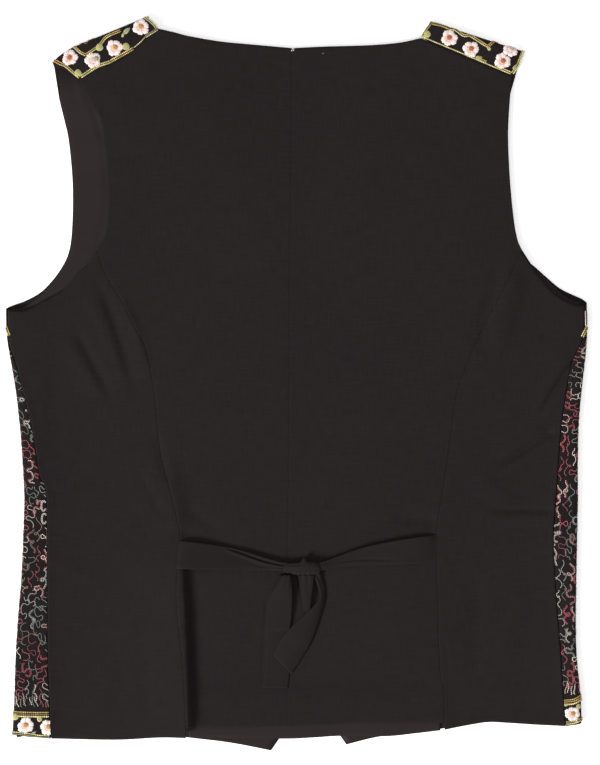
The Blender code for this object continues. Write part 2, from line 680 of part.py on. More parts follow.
# Sections of the knot along it: x, half its width and half its height.
KNOT_SECTIONS = [
    (-15.4, 3.6, 1.9), (-12.0, 5.6, 3.0), (-3.0, 6.2, 3.5), (6.0, 6.3, 3.4), (12.0, 5.9, 3.1),
    (15.4, 4.0, 2.0),
]


def crossed(sections, columns):
    """A strip of cloth through its sections, raised in the middle of each by its bulge."""
    share = even(columns + 1)[:, None]
    rows = []
    for section in sections:
        plan = np.array(section.first) * (1.0 - share) + np.array(section.second) * share
        lift = section.lift + section.bulge * (1.0 - (2.0 * share - 1.0) ** 2)
        rows.append(np.concatenate([plan, lift], axis=1))
    return np.array(rows)


def refined(points, count):
    """The same strip with more rows, on smooth curves through its sections."""
    return np.stack([spline(points[:, column], even(count)) for column in range(points.shape[1])], axis=1)


def tie_piece(name, sections, count, collection):
    """A flat stretch of the tie, just above the back that it lies on."""
    strip = refined(crossed(sections, 3), count)
    points = raised(strip[..., :2], strip[..., 2] + TIE_WALL + GAP)
    return cloth(name, points, collection, CLOTH, TIE_WALL)


def bow_loop(name, sections, count, collection):
    """A loop of the bow: out on the lower layer, round the end and back on the upper one."""
    rows = []
    for section in sections:
        across = np.linspace(section.first_x, section.second_x, 3)
        height = np.full(3, section.height + FLAT_TOP)
        rows.append(np.stack([across, np.full(3, section.y), height], axis=1))
    points = refined(np.array(rows), count)
    return cloth(name, points, collection, CLOTH, TIE_WALL, upward=False)


def bow_knot(collection):
    """The knot: rounded sections of a wrapped tie, with closed ends."""
    turn = np.linspace(0.0, 2.0 * math.pi, KNOT_SIDES, endpoint=False)
    rings = []
    for x, half_width, half_height in KNOT_SECTIONS:
        y = np.sign(np.cos(turn)) * np.abs(np.cos(turn)) ** KNOT_SQUARENESS * half_width
        z = np.sign(np.sin(turn)) * np.abs(np.sin(turn)) ** KNOT_SQUARENESS * half_height
        rings.append(np.stack([np.full(KNOT_SIDES, x), y, z], axis=1))
    points = (np.concatenate(rings) + np.array(KNOT_CENTRE)) * MM
    faces = []
    for ring in range(len(rings) - 1):
        for side in range(KNOT_SIDES):
            after = (side + 1) % KNOT_SIDES
            low = ring * KNOT_SIDES
            high = low + KNOT_SIDES
            faces.append((low + side, low + after, high + after, high + side))
    last = (len(rings) - 1) * KNOT_SIDES
    faces.append(tuple(reversed(range(KNOT_SIDES))))
    faces.append(tuple(range(last, last + KNOT_SIDES)))
    mesh = bpy.data.meshes.new("bow_knot")
    mesh.from_pydata(points.tolist(), [], faces)
    return add_object("bow_knot", mesh, collection, CLOTH, 0.9)


def main():
    """Builds every piece of the vest in one collection."""
    for old in list(bpy.data.objects):
        bpy.data.objects.remove(old, do_unlink=True)
    vest = bpy.data.collections.new("folk_vest")
    bpy.context.scene.collection.children.link(vest)

    near_left = [0.0, 0.02, 0.04, 0.065, 0.10, 0.15]
    near_right = [0.0, 0.05]
    centre_back("back_centre_left", -1, PRINCESS_LEFT, ARMHOLE_LEFT, SHOULDER_LEFT, NECK_LEFT,
                CENTRE_HEM_LEFT, near_left, vest)
    centre_back("back_centre_right", 1, PRINCESS_RIGHT, ARMHOLE_RIGHT, SHOULDER_RIGHT, NECK_RIGHT,
                CENTRE_HEM_RIGHT, near_right, vest)
    side_back("back_side_left", -1, PRINCESS_LEFT, UNDERARM_LEFT, SIDE_HEM_LEFT, vest)
    side_back("back_side_right", 1, PRINCESS_RIGHT, UNDERARM_RIGHT, SIDE_HEM_RIGHT, vest)
    hem_facing(vest)

    _, left_edges = front("front_left", -1, LEFT_SHOULDER, FRONT_HEM_LEFT, FRONT_ARMHOLE_LEFT,
                          FRONT_NECK_LEFT, SHOULDER_LEFT, vest)
    _, right_edges = front("front_right", 1, RIGHT_SHOULDER, FRONT_HEM_RIGHT, FRONT_ARMHOLE_RIGHT,
                           FRONT_NECK_RIGHT, SHOULDER_RIGHT, vest)
    front_lining("front_lining_left", -1, LEFT_SHOULDER, left_edges, FRONT_HEM_LEFT, vest)
    front_lining("front_lining_right", 1, RIGHT_SHOULDER, right_edges, FRONT_HEM_RIGHT, vest)

    tie_piece("tie_left", TIE_LEFT, 15, vest)
    tie_piece("tie_right", TIE_RIGHT, 13, vest)
    tie_piece("tie_tail_left", TAIL_LEFT, 10, vest)
    tie_piece("tie_tail_right", TAIL_RIGHT, 14, vest)
    bow_loop("bow_loop_left", LOOP_LEFT, 18, vest)
    bow_loop("bow_loop_right", LOOP_RIGHT, 16, vest)
    bow_knot(vest)


main()
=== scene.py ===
"""Looks for a sleeveless folk vest that lies face down, with its plain back up.

X runs across the vest, Y up its length and Z up from the surface. Sizes are in millimetres, and mesh
points become metres as they are written. A front's flat pattern is bent round its side fold and over
its shoulder fold, and the stitching on it is laid out on the same pattern.
"""

import logging
import math
from collections.abc import Callable, Sequence
from dataclasses import dataclass, field
from enum import Enum

import bpy
import numpy as np
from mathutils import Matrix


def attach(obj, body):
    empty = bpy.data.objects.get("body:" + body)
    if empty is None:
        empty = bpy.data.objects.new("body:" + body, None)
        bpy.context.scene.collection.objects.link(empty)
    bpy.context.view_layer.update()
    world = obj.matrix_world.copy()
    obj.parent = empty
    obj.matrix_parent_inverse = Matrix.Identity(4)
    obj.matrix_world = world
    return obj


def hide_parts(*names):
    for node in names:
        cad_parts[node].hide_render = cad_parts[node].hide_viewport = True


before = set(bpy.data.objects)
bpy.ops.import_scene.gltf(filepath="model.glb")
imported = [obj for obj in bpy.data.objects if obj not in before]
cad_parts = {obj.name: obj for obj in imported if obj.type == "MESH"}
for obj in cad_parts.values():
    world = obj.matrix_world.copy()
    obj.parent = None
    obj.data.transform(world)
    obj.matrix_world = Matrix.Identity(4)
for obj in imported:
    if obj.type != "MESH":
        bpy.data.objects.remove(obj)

Array = np.ndarray
Point = tuple[float, float]
Colour = tuple[float, float, float]
Line = tuple[Point, ...]
Socket = bpy.types.NodeSocket

MM = 0.001
SEAM_GAP = 0.3
CLOSED_GAP = 0.05
NEAR_EDGE = (0.0, 0.3, 0.7, 1.2, 2.0)
CURVE_STEPS = 40
LINE_POINTS = 241
LOG = logging.getLogger("vest")


class Side(Enum):
    """The two sides of the vest, as seen from above."""

    LEFT = -1
    RIGHT = 1


class Slot(Enum):
    """The material slots of the record."""

    BACK = "back_cloth"
    FRONT = "embroidered_front"
    LINING = "lining"
    TIE = "tie"


def smooth(value: Array) -> Array:
    """Gives the soft step 3v^2 - 2v^3, with v held between 0 and 1."""
    value = np.clip(value, 0.0, 1.0)
    return value * value * (3.0 - 2.0 * value)


def even(count: int) -> Array:
    """Gives evenly spaced fractions from 0 to 1."""
    return np.linspace(0.0, 1.0, count)


def along(points: Array | Sequence[Point], fractions: Array) -> Array:
    """Finds points on a polyline.

    Args:
        points: the corners of the line.
        fractions: places on it, as fractions of its length.

    Returns:
        One point for each fraction.
    """
    points = np.asarray(points, float)
    length = np.concatenate([[0.0], np.cumsum(np.linalg.norm(np.diff(points, axis=0), axis=1))])
    where = np.asarray(fractions, float) * length[-1]
    return np.stack([np.interp(where, length, column) for column in points.T], axis=-1)


def spline(points: Array | Sequence[Point], fractions: Array) -> Array:
    """Finds points on a smooth curve through the given ones.

    Each stretch between two points is the cubic whose slope at either end is half the step between
    the neighbours of that end, and the curve is then read by its length.

    Args:
        points: the points that the curve runs through.
        fractions: places on it, as fractions of its length.

    Returns:
        One point for each fraction.
    """
    points = np.asarray(points, float)
    knots = np.vstack([2.0 * points[0] - points[1], points, 2.0 * points[-1] - points[-2]])
    steps = np.linspace(0.0, 1.0, 17)[None, :, None]
    a, b, c, d = knots[:-3, None], knots[1:-2, None], knots[2:-1, None], knots[3:, None]
    cubic = 2.0 * b + (c - a) * steps + (2.0 * a - 5.0 * b + 4.0 * c - d) * steps**2
    cubic = cubic + (3.0 * b - a - 3.0 * c + d) * steps**3
    return along(0.5 * cubic.reshape(-1, points.shape[1]), fractions)


def length_of(points: Array | Sequence[Point]) -> float:
    """Gives the length of a polyline."""
    return float(np.linalg.norm(np.diff(np.asarray(points, float), axis=0), axis=1).sum())


def shifted(points: Array, amount: float) -> Array:
    """Moves a curve sideways in plan, to the left of its direction where the amount is positive."""
    tangent = np.gradient(points, axis=0)
    tangent = tangent / np.linalg.norm(tangent, axis=1, keepdims=True)
    return points + amount * np.stack([-tangent[:, 1], tangent[:, 0]], axis=1)


def graded(length: float, count: int, at_start: bool = True, at_end: bool = False) -> Array:
    """Spaces rows evenly, with a few close ones at the edges.

    Args:
        length: the length that the rows cover.
        count: the number of even rows.
        at_start: close rows at the first edge.
        at_end: close rows at the last edge.

    Returns:
        Fractions from 0 to 1.
    """
    near = np.array(NEAR_EDGE) / length
    first = near[:-1] if at_start else near[:0]
    last = 1.0 - near[-2::-1] if at_end else near[:0]
    low = near[-1] if at_start else 0.0
    high = 1.0 - near[-1] if at_end else 1.0
    return np.concatenate([first, np.linspace(low, high, count), last])


def edged_rows(widths: Array, count: int, corner: Array | None = None) -> Array:
    """Spaces the columns of every row evenly, with a few close ones at both edges.

    Args:
        widths: the width of each row.
        count: the number of even columns.
        corner: the fraction of each row at which a column has to lie, and a third of the even
            columns come before it.

    Returns:
        Rows of fractions from 0 to 1.
    """
    near = np.array(NEAR_EDGE)[None, :] / widths[:, None]
    low, high = near[:, -1:], 1.0 - near[:, -1:]
    share = even(count)[None, :]
    middle = low + (high - low) * share
    if corner is not None:
        first = count // 3
        before = low + (corner[:, None] - low) * even(first + 1)[None, :-1]
        after = corner[:, None] + (high - corner[:, None]) * even(count - first)[None, :]
        middle = np.concatenate([before, after], axis=1)
    return np.concatenate([near[:, :-1], middle, 1.0 - near[:, -2::-1]], axis=1)


def coons(left: Array, right: Array, bottom: Callable[[Array], Array], top: Callable[[Array], Array],
          fractions: Array, reach: Array | None = None) -> Array:
    """Fills the space between four edges.

    Each row is the straight line between the two sides, plus the bottom edge's departure from its own
    chord times (1 - up)^2, plus the top edge's departure times its reach.

    Args:
        left: the first side, a point for each row.
        right: the other side, a point for each row.
        bottom: the first edge, as a function of fractions.
        top: the last edge, as a function of fractions.
        fractions: the fractions of the columns, for all rows or one row for each.
        reach: each row's share of the top edge, where it isn't its height.

    Returns:
        The plan points, rows by columns.
    """
    fractions = np.broadcast_to(fractions, (len(left), np.shape(fractions)[-1]))
    up = np.concatenate([[0.0], np.cumsum(np.linalg.norm(np.diff(right, axis=0), axis=1))])
    up = (up / up[-1])[:, None, None]
    share = fractions[..., None]
    straight = left[:, None] * (1.0 - share) + right[:, None] * share
    low, high = (
        line(fractions) - line(np.zeros(1)) * (1.0 - share) - line(np.ones(1)) * share
        for line in (bottom, top)
    )
    top_share = up if reach is None else np.asarray(reach)[:, None, None]
    return straight + (1.0 - up) ** 2 * low + top_share * high


def bell(value: Array, width: float | Array, power: int = 2) -> Array:
    """Gives the soft bump e^-(value / width)^power, which is 1 where the value is 0."""
    return np.exp(-((value / width) ** power))


def edge_turn(distance: Array, depth: float, width: float = 0.9) -> Array:
    """Gives how far cloth turns down near an edge: the depth times a bell of the distance."""
    return depth * bell(distance, width)


def whole_turn(count: int) -> Array:
    """Gives evenly spaced angles of one whole turn, without its end."""
    return np.linspace(0.0, 2.0 * math.pi, count, endpoint=False)


def run_length(points: Array, axis: int) -> Array:
    """Gives the length from the first row or column of a grid to each of its points."""
    step = np.linalg.norm(np.diff(points, axis=axis), axis=-1)
    start = np.zeros_like(np.take(step, [0], axis=axis))
    return np.concatenate([start, np.cumsum(step, axis=axis)], axis=axis)


@dataclass(frozen=True)
class SideFold:
    """A side of the vest: its outermost line and its side seam.

    The line holds y and x, and the seam x and y, both from the hem to the underarm.
    """

    side: Side
    line: Line
    seam: Line

    def x_at(self, y: Array) -> Array:
        """Gives the fold's x at each y."""
        curve = spline(self.line, even(LINE_POINTS))
        return np.interp(y, curve[:, 0], curve[:, 1])


@dataclass(frozen=True)
class ShoulderFold:
    """The straight fold over a shoulder and the seam behind it, both from the armhole to the neck."""

    outer: Point
    inner: Point
    seam: Line
    reach: float
    edge_start: float
    corner: float = 0.0

    def axes(self) -> tuple[Array, Array]:
        """Gives the unit vectors along the fold and outward across it."""
        direction = np.subtract(self.inner, self.outer)
        direction = direction / np.linalg.norm(direction)
        outward = np.array([-direction[1], direction[0]])
        return direction, outward if outward[1] > 0 else -outward


@dataclass(frozen=True)
class Crease:
    """A soft ridge or trough along a curve, with its own width on each side of it."""

    start: Point
    bend: Point
    end: Point
    height: float
    left_width: float
    right_width: float
    fade_in: float = 0.3
    fade_out: float = 0.35

    def curve(self) -> Array:
        """Gives points of the quadratic curve from start to end that bend pulls aside."""
        t = even(CURVE_STEPS + 1)[:, None]
        line = (1 - t) ** 2 * np.array(self.start) + 2 * t * (1 - t) * np.array(self.bend)
        return line + t**2 * np.array(self.end)

    def add_to(self, height: Array, x: Array, y: Array) -> None:
        """Adds the crease to heights: its own height times e^-(distance / width)^2, faded at its ends.

        Args:
            height: the heights, which are changed.
            x: the x of each point.
            y: the y of each point.
        """
        curve = self.curve()
        margin = 3.0 * max(self.left_width, self.right_width)
        low, high = curve.min(axis=0) - margin, curve.max(axis=0) + margin
        near = (x > low[0]) & (x < high[0]) & (y > low[1]) & (y < high[1])
        if not near.any():
            return
        tangent = np.gradient(curve, axis=0)
        spacing = np.linalg.norm(tangent, axis=1)
        tangent = tangent / spacing[:, None]
        points = np.stack([x[near], y[near]], axis=-1)
        away = points[:, None, :] - curve
        nearest = np.argmin((away**2).sum(-1), axis=-1)
        offset = np.take_along_axis(away, nearest[:, None, None], axis=1)[:, 0]
        heading = tangent[nearest]
        across = heading[:, 0] * offset[:, 1] - heading[:, 1] * offset[:, 0]
        beyond = (offset * heading).sum(-1)
        place = np.clip((nearest + beyond / spacing[nearest]) / CURVE_STEPS, 0.0, 1.0)
        width = np.where(across > 0, self.left_width, self.right_width)
        fade = np.ones_like(place)
        if self.fade_in > 0:
            fade = fade * smooth(place / self.fade_in)
        if self.fade_out > 0:
            fade = fade * smooth((1.0 - place) / self.fade_out)
        past = np.where((nearest == 0) | (nearest == 40), beyond, 0.0)
        fade = fade * bell(past, margin)
        height[near] += self.height * fade * bell(across, width)


LEFT_FOLD = SideFold(
    Side.LEFT,
    line=(
        (-290, -226), (-250, -224), (-218, -223), (-186, -221), (-155, -218.5), (-123, -217),
        (-91, -216), (-60, -217.5), (-28, -220), (3, -224), (35, -229.5), (59, -230.5), (120, -231),
    ),
    seam=(
        (-194.7, -280), (-196, -249), (-197.4, -210), (-197.8, -131), (-198.7, -85), (-204, -71),
        (-209.4, -36), (-217, -5), (-223, 16), (-227.4, 28), (-229.4, 43), (-229.6, 58.7),
    ),
)
RIGHT_FOLD = SideFold(
    Side.RIGHT,
    line=(
        (-290, 225), (-250, 224), (-218, 221), (-186, 220), (-123, 221), (-91, 221.6), (-60, 221.6),
        (-28, 222.5), (3, 225.5), (35, 228.7), (59, 228.7), (120, 229),
    ),
    seam=(
        (211.7, -270), (210.2, -249), (207.8, -211), (204.2, -166), (202.2, -121), (205, -80),
        (208, -36), (212, -8), (216, 15), (221, 27), (226.6, 39), (227.6, 62),
    ),
)
LEFT_SHOULDER = ShoulderFold(
    outer=(-192, 260.5), inner=(-118, 291), reach=3.5, edge_start=-4.0, corner=3.2,
    seam=(
        (-172.6, 241.1), (-158.4, 249.2), (-147, 253.4), (-135.5, 259.3), (-121, 272), (-109.7, 281),
    ),
)
RIGHT_SHOULDER = ShoulderFold(
    outer=(178.5, 263.2), inner=(104.7, 287), reach=3.5, edge_start=0.5,
    seam=(
        (169.5, 243.5), (155, 249.5), (141, 255.4), (126.5, 261.4), (112, 267.5), (97.6, 273.5),
    ),
)
MAIN_CREASES = (
    Crease((-86.5, -285), (-87.2, -195), (-95, -98), 5.4, 34, 4.6, 0.0, 0.35),
    Crease((-92, -118), (-97, -90), (-110, -40), 1.8, 22, 9, 0.2, 0.5),
    Crease((-165, 78), (-148, 36), (-133, -10), 1.0, 6, 8, 0.25, 0.4),
    Crease((-184, 40), (-168, 10), (-150, -14), 0.9, 6, 7, 0.25, 0.4),
    Crease((216, 30), (200, 2), (186, -28), 1.0, 7, 6, 0.2, 0.4),
    Crease((198, -32), (178, -45), (150, -66), 0.9, 6, 7, 0.25, 0.4),
    Crease((148, -106), (178, -104), (206, -105), 0.7, 6, 5, 0.3, 0.3),
    Crease((176, 92), (160, 62), (150, 24), 1.1, 9, 10, 0.25, 0.4),
)
LINING_CREASES = (
    Crease((-172.5, 238), (-158.5, 217), (-153.8, 190), -0.75, 1.5, 1.8, 0.1, 0.2),
    Crease((-156.0, 206), (-151.2, 180), (-150.8, 150), -0.75, 1.5, 1.8, 0.2, 0.2),
    Crease((-150.6, 164), (-149.4, 128), (-160.0, 105), -0.75, 1.5, 1.8, 0.2, 0.1),
    Crease((-171.0, 109.5), (-164, 111.5), (-156, 109), -0.8, 1.2, 1.4, 0.2, 0.1),
    Crease((-183.5, 220), (-180, 227), (-174, 233), -0.7, 1.3, 1.6, 0.2, 0.2),
)
FINE_CREASES = (
    Crease((-87.6, -285), (-88.2, -195), (-95.6, -104), 1.3, 12, 3.4, 0.0, 0.3),
    Crease((-79, -272), (-80, -200), (-84, -140), -0.9, 3.6, 15.0, 0.1, 0.3),
    Crease((-158, 82), (-137, 34), (-127, -16), -1.25, 3.9, 3.5, 0.25, 0.4),
    Crease((-178, 48), (-160, 14), (-143, -20), -1.1, 3.7, 3.4, 0.25, 0.4),
    Crease((-143, 74), (-124, 40), (-116, -4), 1.15, 4.3, 4.6, 0.25, 0.4),
    Crease((-112, -34), (-108, -62), (-98, -84), -0.9, 3.4, 4.0),
    Crease((-128, -60), (-117, -88), (-101, -112), -0.6, 4.0, 4.4),
    Crease((-206, -128), (-180, -150), (-150, -156), 0.5, 7.0, 6.0),
    Crease((-182, -196), (-160, -206), (-134, -204), -0.5, 7.0, 6.0),
    Crease((-172, -262), (-150, -240), (-140, -214), 0.65, 8.0, 7.0),
    Crease((-121, -268), (-118, -236), (-124, -196), -0.55, 6.0, 6.0),
    Crease((-190, 26), (-196, -20), (-186, -66), -0.5, 6.0, 7.0),
    Crease((222, 24), (205, -2), (190, -26), -2.1, 2.2, 2.6, 0.15, 0.3),
    Crease((226, 19), (209, -7), (193, -31), 0.9, 3.0, 4.0, 0.15, 0.3),
    Crease((204, -36), (184, -49), (152, -70), -2.0, 2.0, 2.6, 0.15, 0.3),
    Crease((205, -41), (186, -54), (155, -74), 0.8, 3.0, 4.0, 0.15, 0.3),
    Crease((150, -99.6), (176, -98), (206, -100), -1.1, 2.0, 2.6, 0.2, 0.15),
    Crease((164, 104), (150, 66), (143, 20), -1.2, 6.0, 5.0),
    Crease((181, 88), (166, 52), (156, 10), 0.7, 5.0, 7.0),
    Crease((140, -64), (150, -84), (172, -94), 0.4, 6.0, 6.0),
    Crease((186, -150), (168, -190), (160, -232), 0.65, 9.0, 8.0),
    Crease((138, -142), (146, -190), (136, -238), -0.65, 7.0, 7.0),
    Crease((117.4, -200), (118.4, -236), (119.4, -264), -0.35, 0.9, 0.9, 0.2, 0.1),
    Crease((64, -200), (84, -176), (104, -160), 0.45, 7.0, 7.0),
    Crease((-66, -226), (-40, -214), (-30, -190), -0.35, 8.0, 8.0),
    Crease((72, -108), (92, -104), (110, -110), -1.0, 5.0, 4.0, 0.3, 0.1),
    Crease((-88, -96), (-76, -110), (-52, -118), -0.8, 5.0, 7.0, 0.1, 0.4),
    Crease((-23.6, -166), (-26.2, -190), (-28.6, -238), -0.45, 1.1, 1.4, 0.15, 0.1),
    Crease((-108, 176), (-70, 168), (-24, 178), 0.3, 9.0, 9.0),
    Crease((20, 204), (64, 186), (118, 190), 0.3, 10.0, 9.0),
    Crease((-90, 96), (-52, 84), (-14, 90), -0.28, 9.0, 9.0),
    Crease((26, 66), (64, 76), (104, 64), 0.28, 10.0, 10.0),
    Crease((-84, -14), (-50, -30), (-16, -22), 0.3, 10.0, 9.0),
    Crease((8, -34), (56, -50), (104, -34), -0.3, 10.0, 10.0),
    Crease((-150, 236), (-138, 224), (-130, 206), 0.5, 6.0, 7.0),
    Crease((150, 240), (138, 226), (132, 204), 0.5, 6.0, 7.0),
    Crease((-150, 186), (-132, 176), (-112, 182), -0.35, 7.0, 7.0),
    Crease((166, 168), (148, 160), (128, 166), -0.35, 7.0, 7.0),
)


@dataclass(frozen=True)
class VestForm:
    """The heights and folds that every piece shares, in millimetres above the surface."""

    flat_top: float = 4.4
    side_top: float = 6.4
    shoulder_top: float = 5.2
    hem_top: float = 5.5
    hem_rise: Point = (-232.0, 18.0)
    hem_span: Point = (-96.0, 128.0)
    hem_fades: Point = (12.0, 16.0)
    neck_sag: float = 1.3
    neck_bottom: float = 50.0
    neck_top: float = 290.0
    neck_half: float = 112.0
    neck_middle: float = -6.0
    sag_start: float = 10.0
    sag_spread: float = 84.0
    centre_front: float = 10.0
    fold_reach: float = 4.0
    side_spread: float = 45.0
    shoulder_spread: float = 30.0
    shoulder_from: float = 180.0
    side_rise_end: Point = (60.0, 120.0)
    folds: tuple[SideFold, ...] = (LEFT_FOLD, RIGHT_FOLD)
    shoulders: tuple[ShoulderFold, ...] = (LEFT_SHOULDER, RIGHT_SHOULDER)
    creases: tuple[Crease, ...] = MAIN_CREASES + FINE_CREASES

    def fold(self, side: Side) -> SideFold:
        """Gives the side fold of one side."""
        return self.folds[0] if side is Side.LEFT else self.folds[1]

    def shoulder(self, side: Side) -> ShoulderFold:
        """Gives the shoulder fold of one side."""
        return self.shoulders[0] if side is Side.LEFT else self.shoulders[1]

    def side_arc(self) -> float:
        """Gives the length of a side fold's half-round section."""
        return math.pi * 0.5 * (self.fold_reach + 0.5 * self.side_top)

    def shoulder_arc(self, fold: ShoulderFold) -> float:
        """Gives the length of a shoulder fold's half-round section."""
        return math.pi * 0.5 * (fold.reach + 0.5 * self.shoulder_top)

    def top_height(self, x: Array, y: Array) -> Array:
        """Gives the upper face of the vest.

        It is flat in the middle and rises softly to the side folds, the shoulder folds and the centre
        hem, sinks into the open neck of the fronts, and carries the creases.

        Args:
            x: the x of each point.
            y: the y of each point.

        Returns:
            The height of each point.
        """
        x, y = np.asarray(x, float), np.asarray(y, float)
        height = np.full(x.shape, self.flat_top)
        start, end = self.side_rise_end
        low = 1.0 - smooth((y - start) / (end - start))
        for fold in self.folds:
            inward = fold.side.value * (fold.x_at(y) - x) - self.fold_reach
            rise = self.side_top - self.flat_top
            height = height + rise * low * smooth(1.0 - inward / self.side_spread)
        for fold in self.shoulders:
            _, outward = fold.axes()
            depth = -((x - fold.outer[0]) * outward[0] + (y - fold.outer[1]) * outward[1]) - fold.reach
            near = (x * fold.outer[0] > 0) & (y > self.shoulder_from)
            rise = self.shoulder_top - self.flat_top
            height = height + near * rise * smooth(1.0 - depth / self.shoulder_spread)
        (left, right), (left_fade, right_fade) = self.hem_span, self.hem_fades
        centre = smooth((x - left) / left_fade) * smooth((right - x) / right_fade)
        rise_y, rise_spread = self.hem_rise
        height = height + (self.hem_top - self.flat_top) * centre * smooth((rise_y - y) / rise_spread)
        neck = [self.neck_bottom, self.neck_top]
        half = np.interp(y, neck, [0.0, self.neck_half])
        middle = np.interp(y, neck, [self.centre_front, self.neck_middle])
        inside = half - np.abs(x - middle) + self.sag_start
        height = height - self.neck_sag * smooth(inside / self.sag_spread)
        for crease in self.creases:
            crease.add_to(height, x, y)
        for fold in self.folds:
            past = np.clip((x - fold.x_at(y)) * fold.side.value / self.fold_reach + 1.0, 0.0, 1.0)
            height = height - low * 0.5 * self.side_top * (1.0 - np.sqrt(1.0 - past**2))
        return height

    def raised(self, plan: Array, extra: float | Array = 0.0) -> Array:
        """Puts plan points on the vest's upper face, or a given height above it."""
        height = self.top_height(plan[..., 0], plan[..., 1]) + extra
        return np.concatenate([plan, height[..., None]], axis=-1)


@dataclass(frozen=True)
class FrontFace:
    """The outer face of one front: its flat pattern and the two folds that bend it."""

    form: VestForm
    side: Side
    shoulder_from: float = 200.0
    slack_length: float = 18.0
    normal_step: float = 0.2

    def wrap_start(self, y: Array) -> Array:
        """Gives the x at which the bend round the side fold starts."""
        return self.form.fold(self.side).x_at(y) - self.side.value * self.form.fold_reach

    def unroll_side(self, plan: Array) -> tuple[Array, Array]:
        """Finds where points seen on top near the side fold lie in the flat pattern.

        On the flat top the pattern runs on past the bend by the distance inward, and on the round of
        the fold the bend's angle is pi minus the arc sine of the share of the reach.

        Args:
            plan: the points as seen from above.

        Returns:
            The pattern points, and their lengths past the start of the bend.
        """
        side, reach, arc = self.side.value, self.form.fold_reach, self.form.side_arc()
        start = self.wrap_start(plan[..., 1])
        inward = (start - plan[..., 0]) * side
        turned = math.pi - np.arcsin(np.clip(-inward / reach, 0.0, 1.0))
        extra = np.where(inward > 0, arc + inward, arc * turned / math.pi)
        return np.stack([start + side * extra, plan[..., 1]], axis=-1), extra

    def seam_extra(self, y: Array) -> Array:
        """Gives the length of cloth between the start of the bend and the side seam, at each y."""
        seam = spline(self.form.fold(self.side).seam, even(LINE_POINTS))
        _, extra = self.unroll_side(seam)
        return np.interp(y, seam[:, 1], extra)

    def unroll_shoulder(self, plan: Array) -> Array:
        """Finds where points seen on top near the shoulder fold lie in the flat pattern."""
        fold = self.form.shoulder(self.side)
        direction, outward = fold.axes()
        arc = self.form.shoulder_arc(fold)
        offset = plan - np.array(fold.outer)
        depth = -offset @ outward
        turned = math.pi - np.arcsin(np.clip(1.0 - depth / fold.reach, 0.0, 1.0))
        extra = np.where(depth > fold.reach, arc + depth - fold.reach, arc * turned / math.pi)
        across = (extra - fold.reach)[..., None] * outward
        return np.array(fold.outer) + (offset @ direction)[..., None] * direction + across

    def roll(self, pattern: Array) -> Array:
        """Bends the flat pattern round the side fold and over the shoulder fold.

        Below a fold the cloth is flat, round it x follows the sine and z the cosine of the angle, and
        past it the cloth runs back on top at the vest's own height.

        Args:
            pattern: the pattern points.

        Returns:
            The points in space.
        """
        form, side = self.form, self.side.value
        x, y = pattern[..., 0], pattern[..., 1]
        start, arc = self.wrap_start(y), form.side_arc()
        extra = (x - start) * side
        turn = np.clip(extra / arc, 0.0, 1.0) * math.pi
        past = np.clip(extra - arc, 0.0, None)
        new_x = np.where(extra > 0, start + side * (form.fold_reach * np.sin(turn) - past), x)
        rounded = 0.5 * form.side_top * (1.0 - np.cos(turn))
        on_top = form.top_height(new_x, y)
        z = np.where(extra >= arc, on_top, np.where(extra > 0, rounded, 0.0))
        points = np.stack([new_x, y, z], axis=-1)
        return self._roll_shoulder(points)

    def _roll_shoulder(self, points: Array) -> Array:
        """Bends points that still lie flat over the shoulder fold, in the same way.

        Near the armhole the fold slackens inward by its corner times (1 - place / slack length)^2.
        """
        fold = self.form.shoulder(self.side)
        direction, outward = fold.axes()
        arc = self.form.shoulder_arc(fold)
        offset = points[..., :2] - np.array(fold.outer)
        extra = offset @ outward + fold.reach
        turn = np.clip(extra / arc, 0.0, 1.0) * math.pi
        past = np.clip(extra - arc, 0.0, None)
        across = -fold.reach + fold.reach * np.sin(turn) - past
        place = offset @ direction
        plan = np.array(fold.outer) + place[..., None] * direction
        plan = plan + across[..., None] * outward
        rounded = 0.5 * self.form.shoulder_top * (1.0 - np.cos(turn))
        z = np.where(extra >= arc, self.form.top_height(plan[..., 0], plan[..., 1]), rounded)
        at_shoulder = points[..., 1] > self.shoulder_from
        bent = (extra > 0) & at_shoulder
        moved = np.concatenate([plan, z[..., None]], axis=-1)
        moved = np.where(bent[..., None], moved, points)
        slack = smooth((extra + 14.0) / 14.0) * smooth((arc + 12.0 - extra) / 10.0)
        slack = slack * fold.corner * np.clip(1.0 - place / self.slack_length, 0.0, 1.3) ** 2
        slack = slack * at_shoulder
        return moved - slack[..., None] * np.array([outward[0], outward[1], 0.0])

    def frame_at(self, pattern: Array) -> tuple[Array, Array]:
        """Finds points of the face and the outward normals there, from short steps on the pattern."""
        step = self.normal_step
        here = self.roll(pattern)
        along_x = self.roll(pattern + np.array([step, 0.0])) - here
        along_y = self.roll(pattern + np.array([0.0, step])) - here
        normal = -np.cross(along_x, along_y)
        return here, normal / np.maximum(np.linalg.norm(normal, axis=-1, keepdims=True), 1e-9)

    def lifted(self, pattern: Array, lift: Array | float) -> Array:
        """Gives points at a height above the face, along its normals."""
        here, normal = self.frame_at(pattern)
        return here + normal * np.broadcast_to(lift, here.shape[:-1])[..., None]

    def kept_off_seam(self, pattern: Array, clear: float) -> Array:
        """Holds pattern points on the fold's side of the side seam, a clear distance from it."""
        start = self.wrap_start(pattern[..., 1])
        extra = (pattern[..., 0] - start) * self.side.value
        extra = np.minimum(extra, self.seam_extra(pattern[..., 1]) - clear)
        return np.stack([start + self.side.value * extra, pattern[..., 1]], axis=-1)

    def seen_offset(self, local: Array, on_shoulder: bool) -> Array:
        """Turns offsets as seen on top into offsets on the pattern, which is a mirror of it."""
        if not on_shoulder:
            return local * np.array([-1.0, 1.0])
        _, outward = self.form.shoulder(self.side).axes()
        return local - 2.0 * (local @ outward)[..., None] * outward


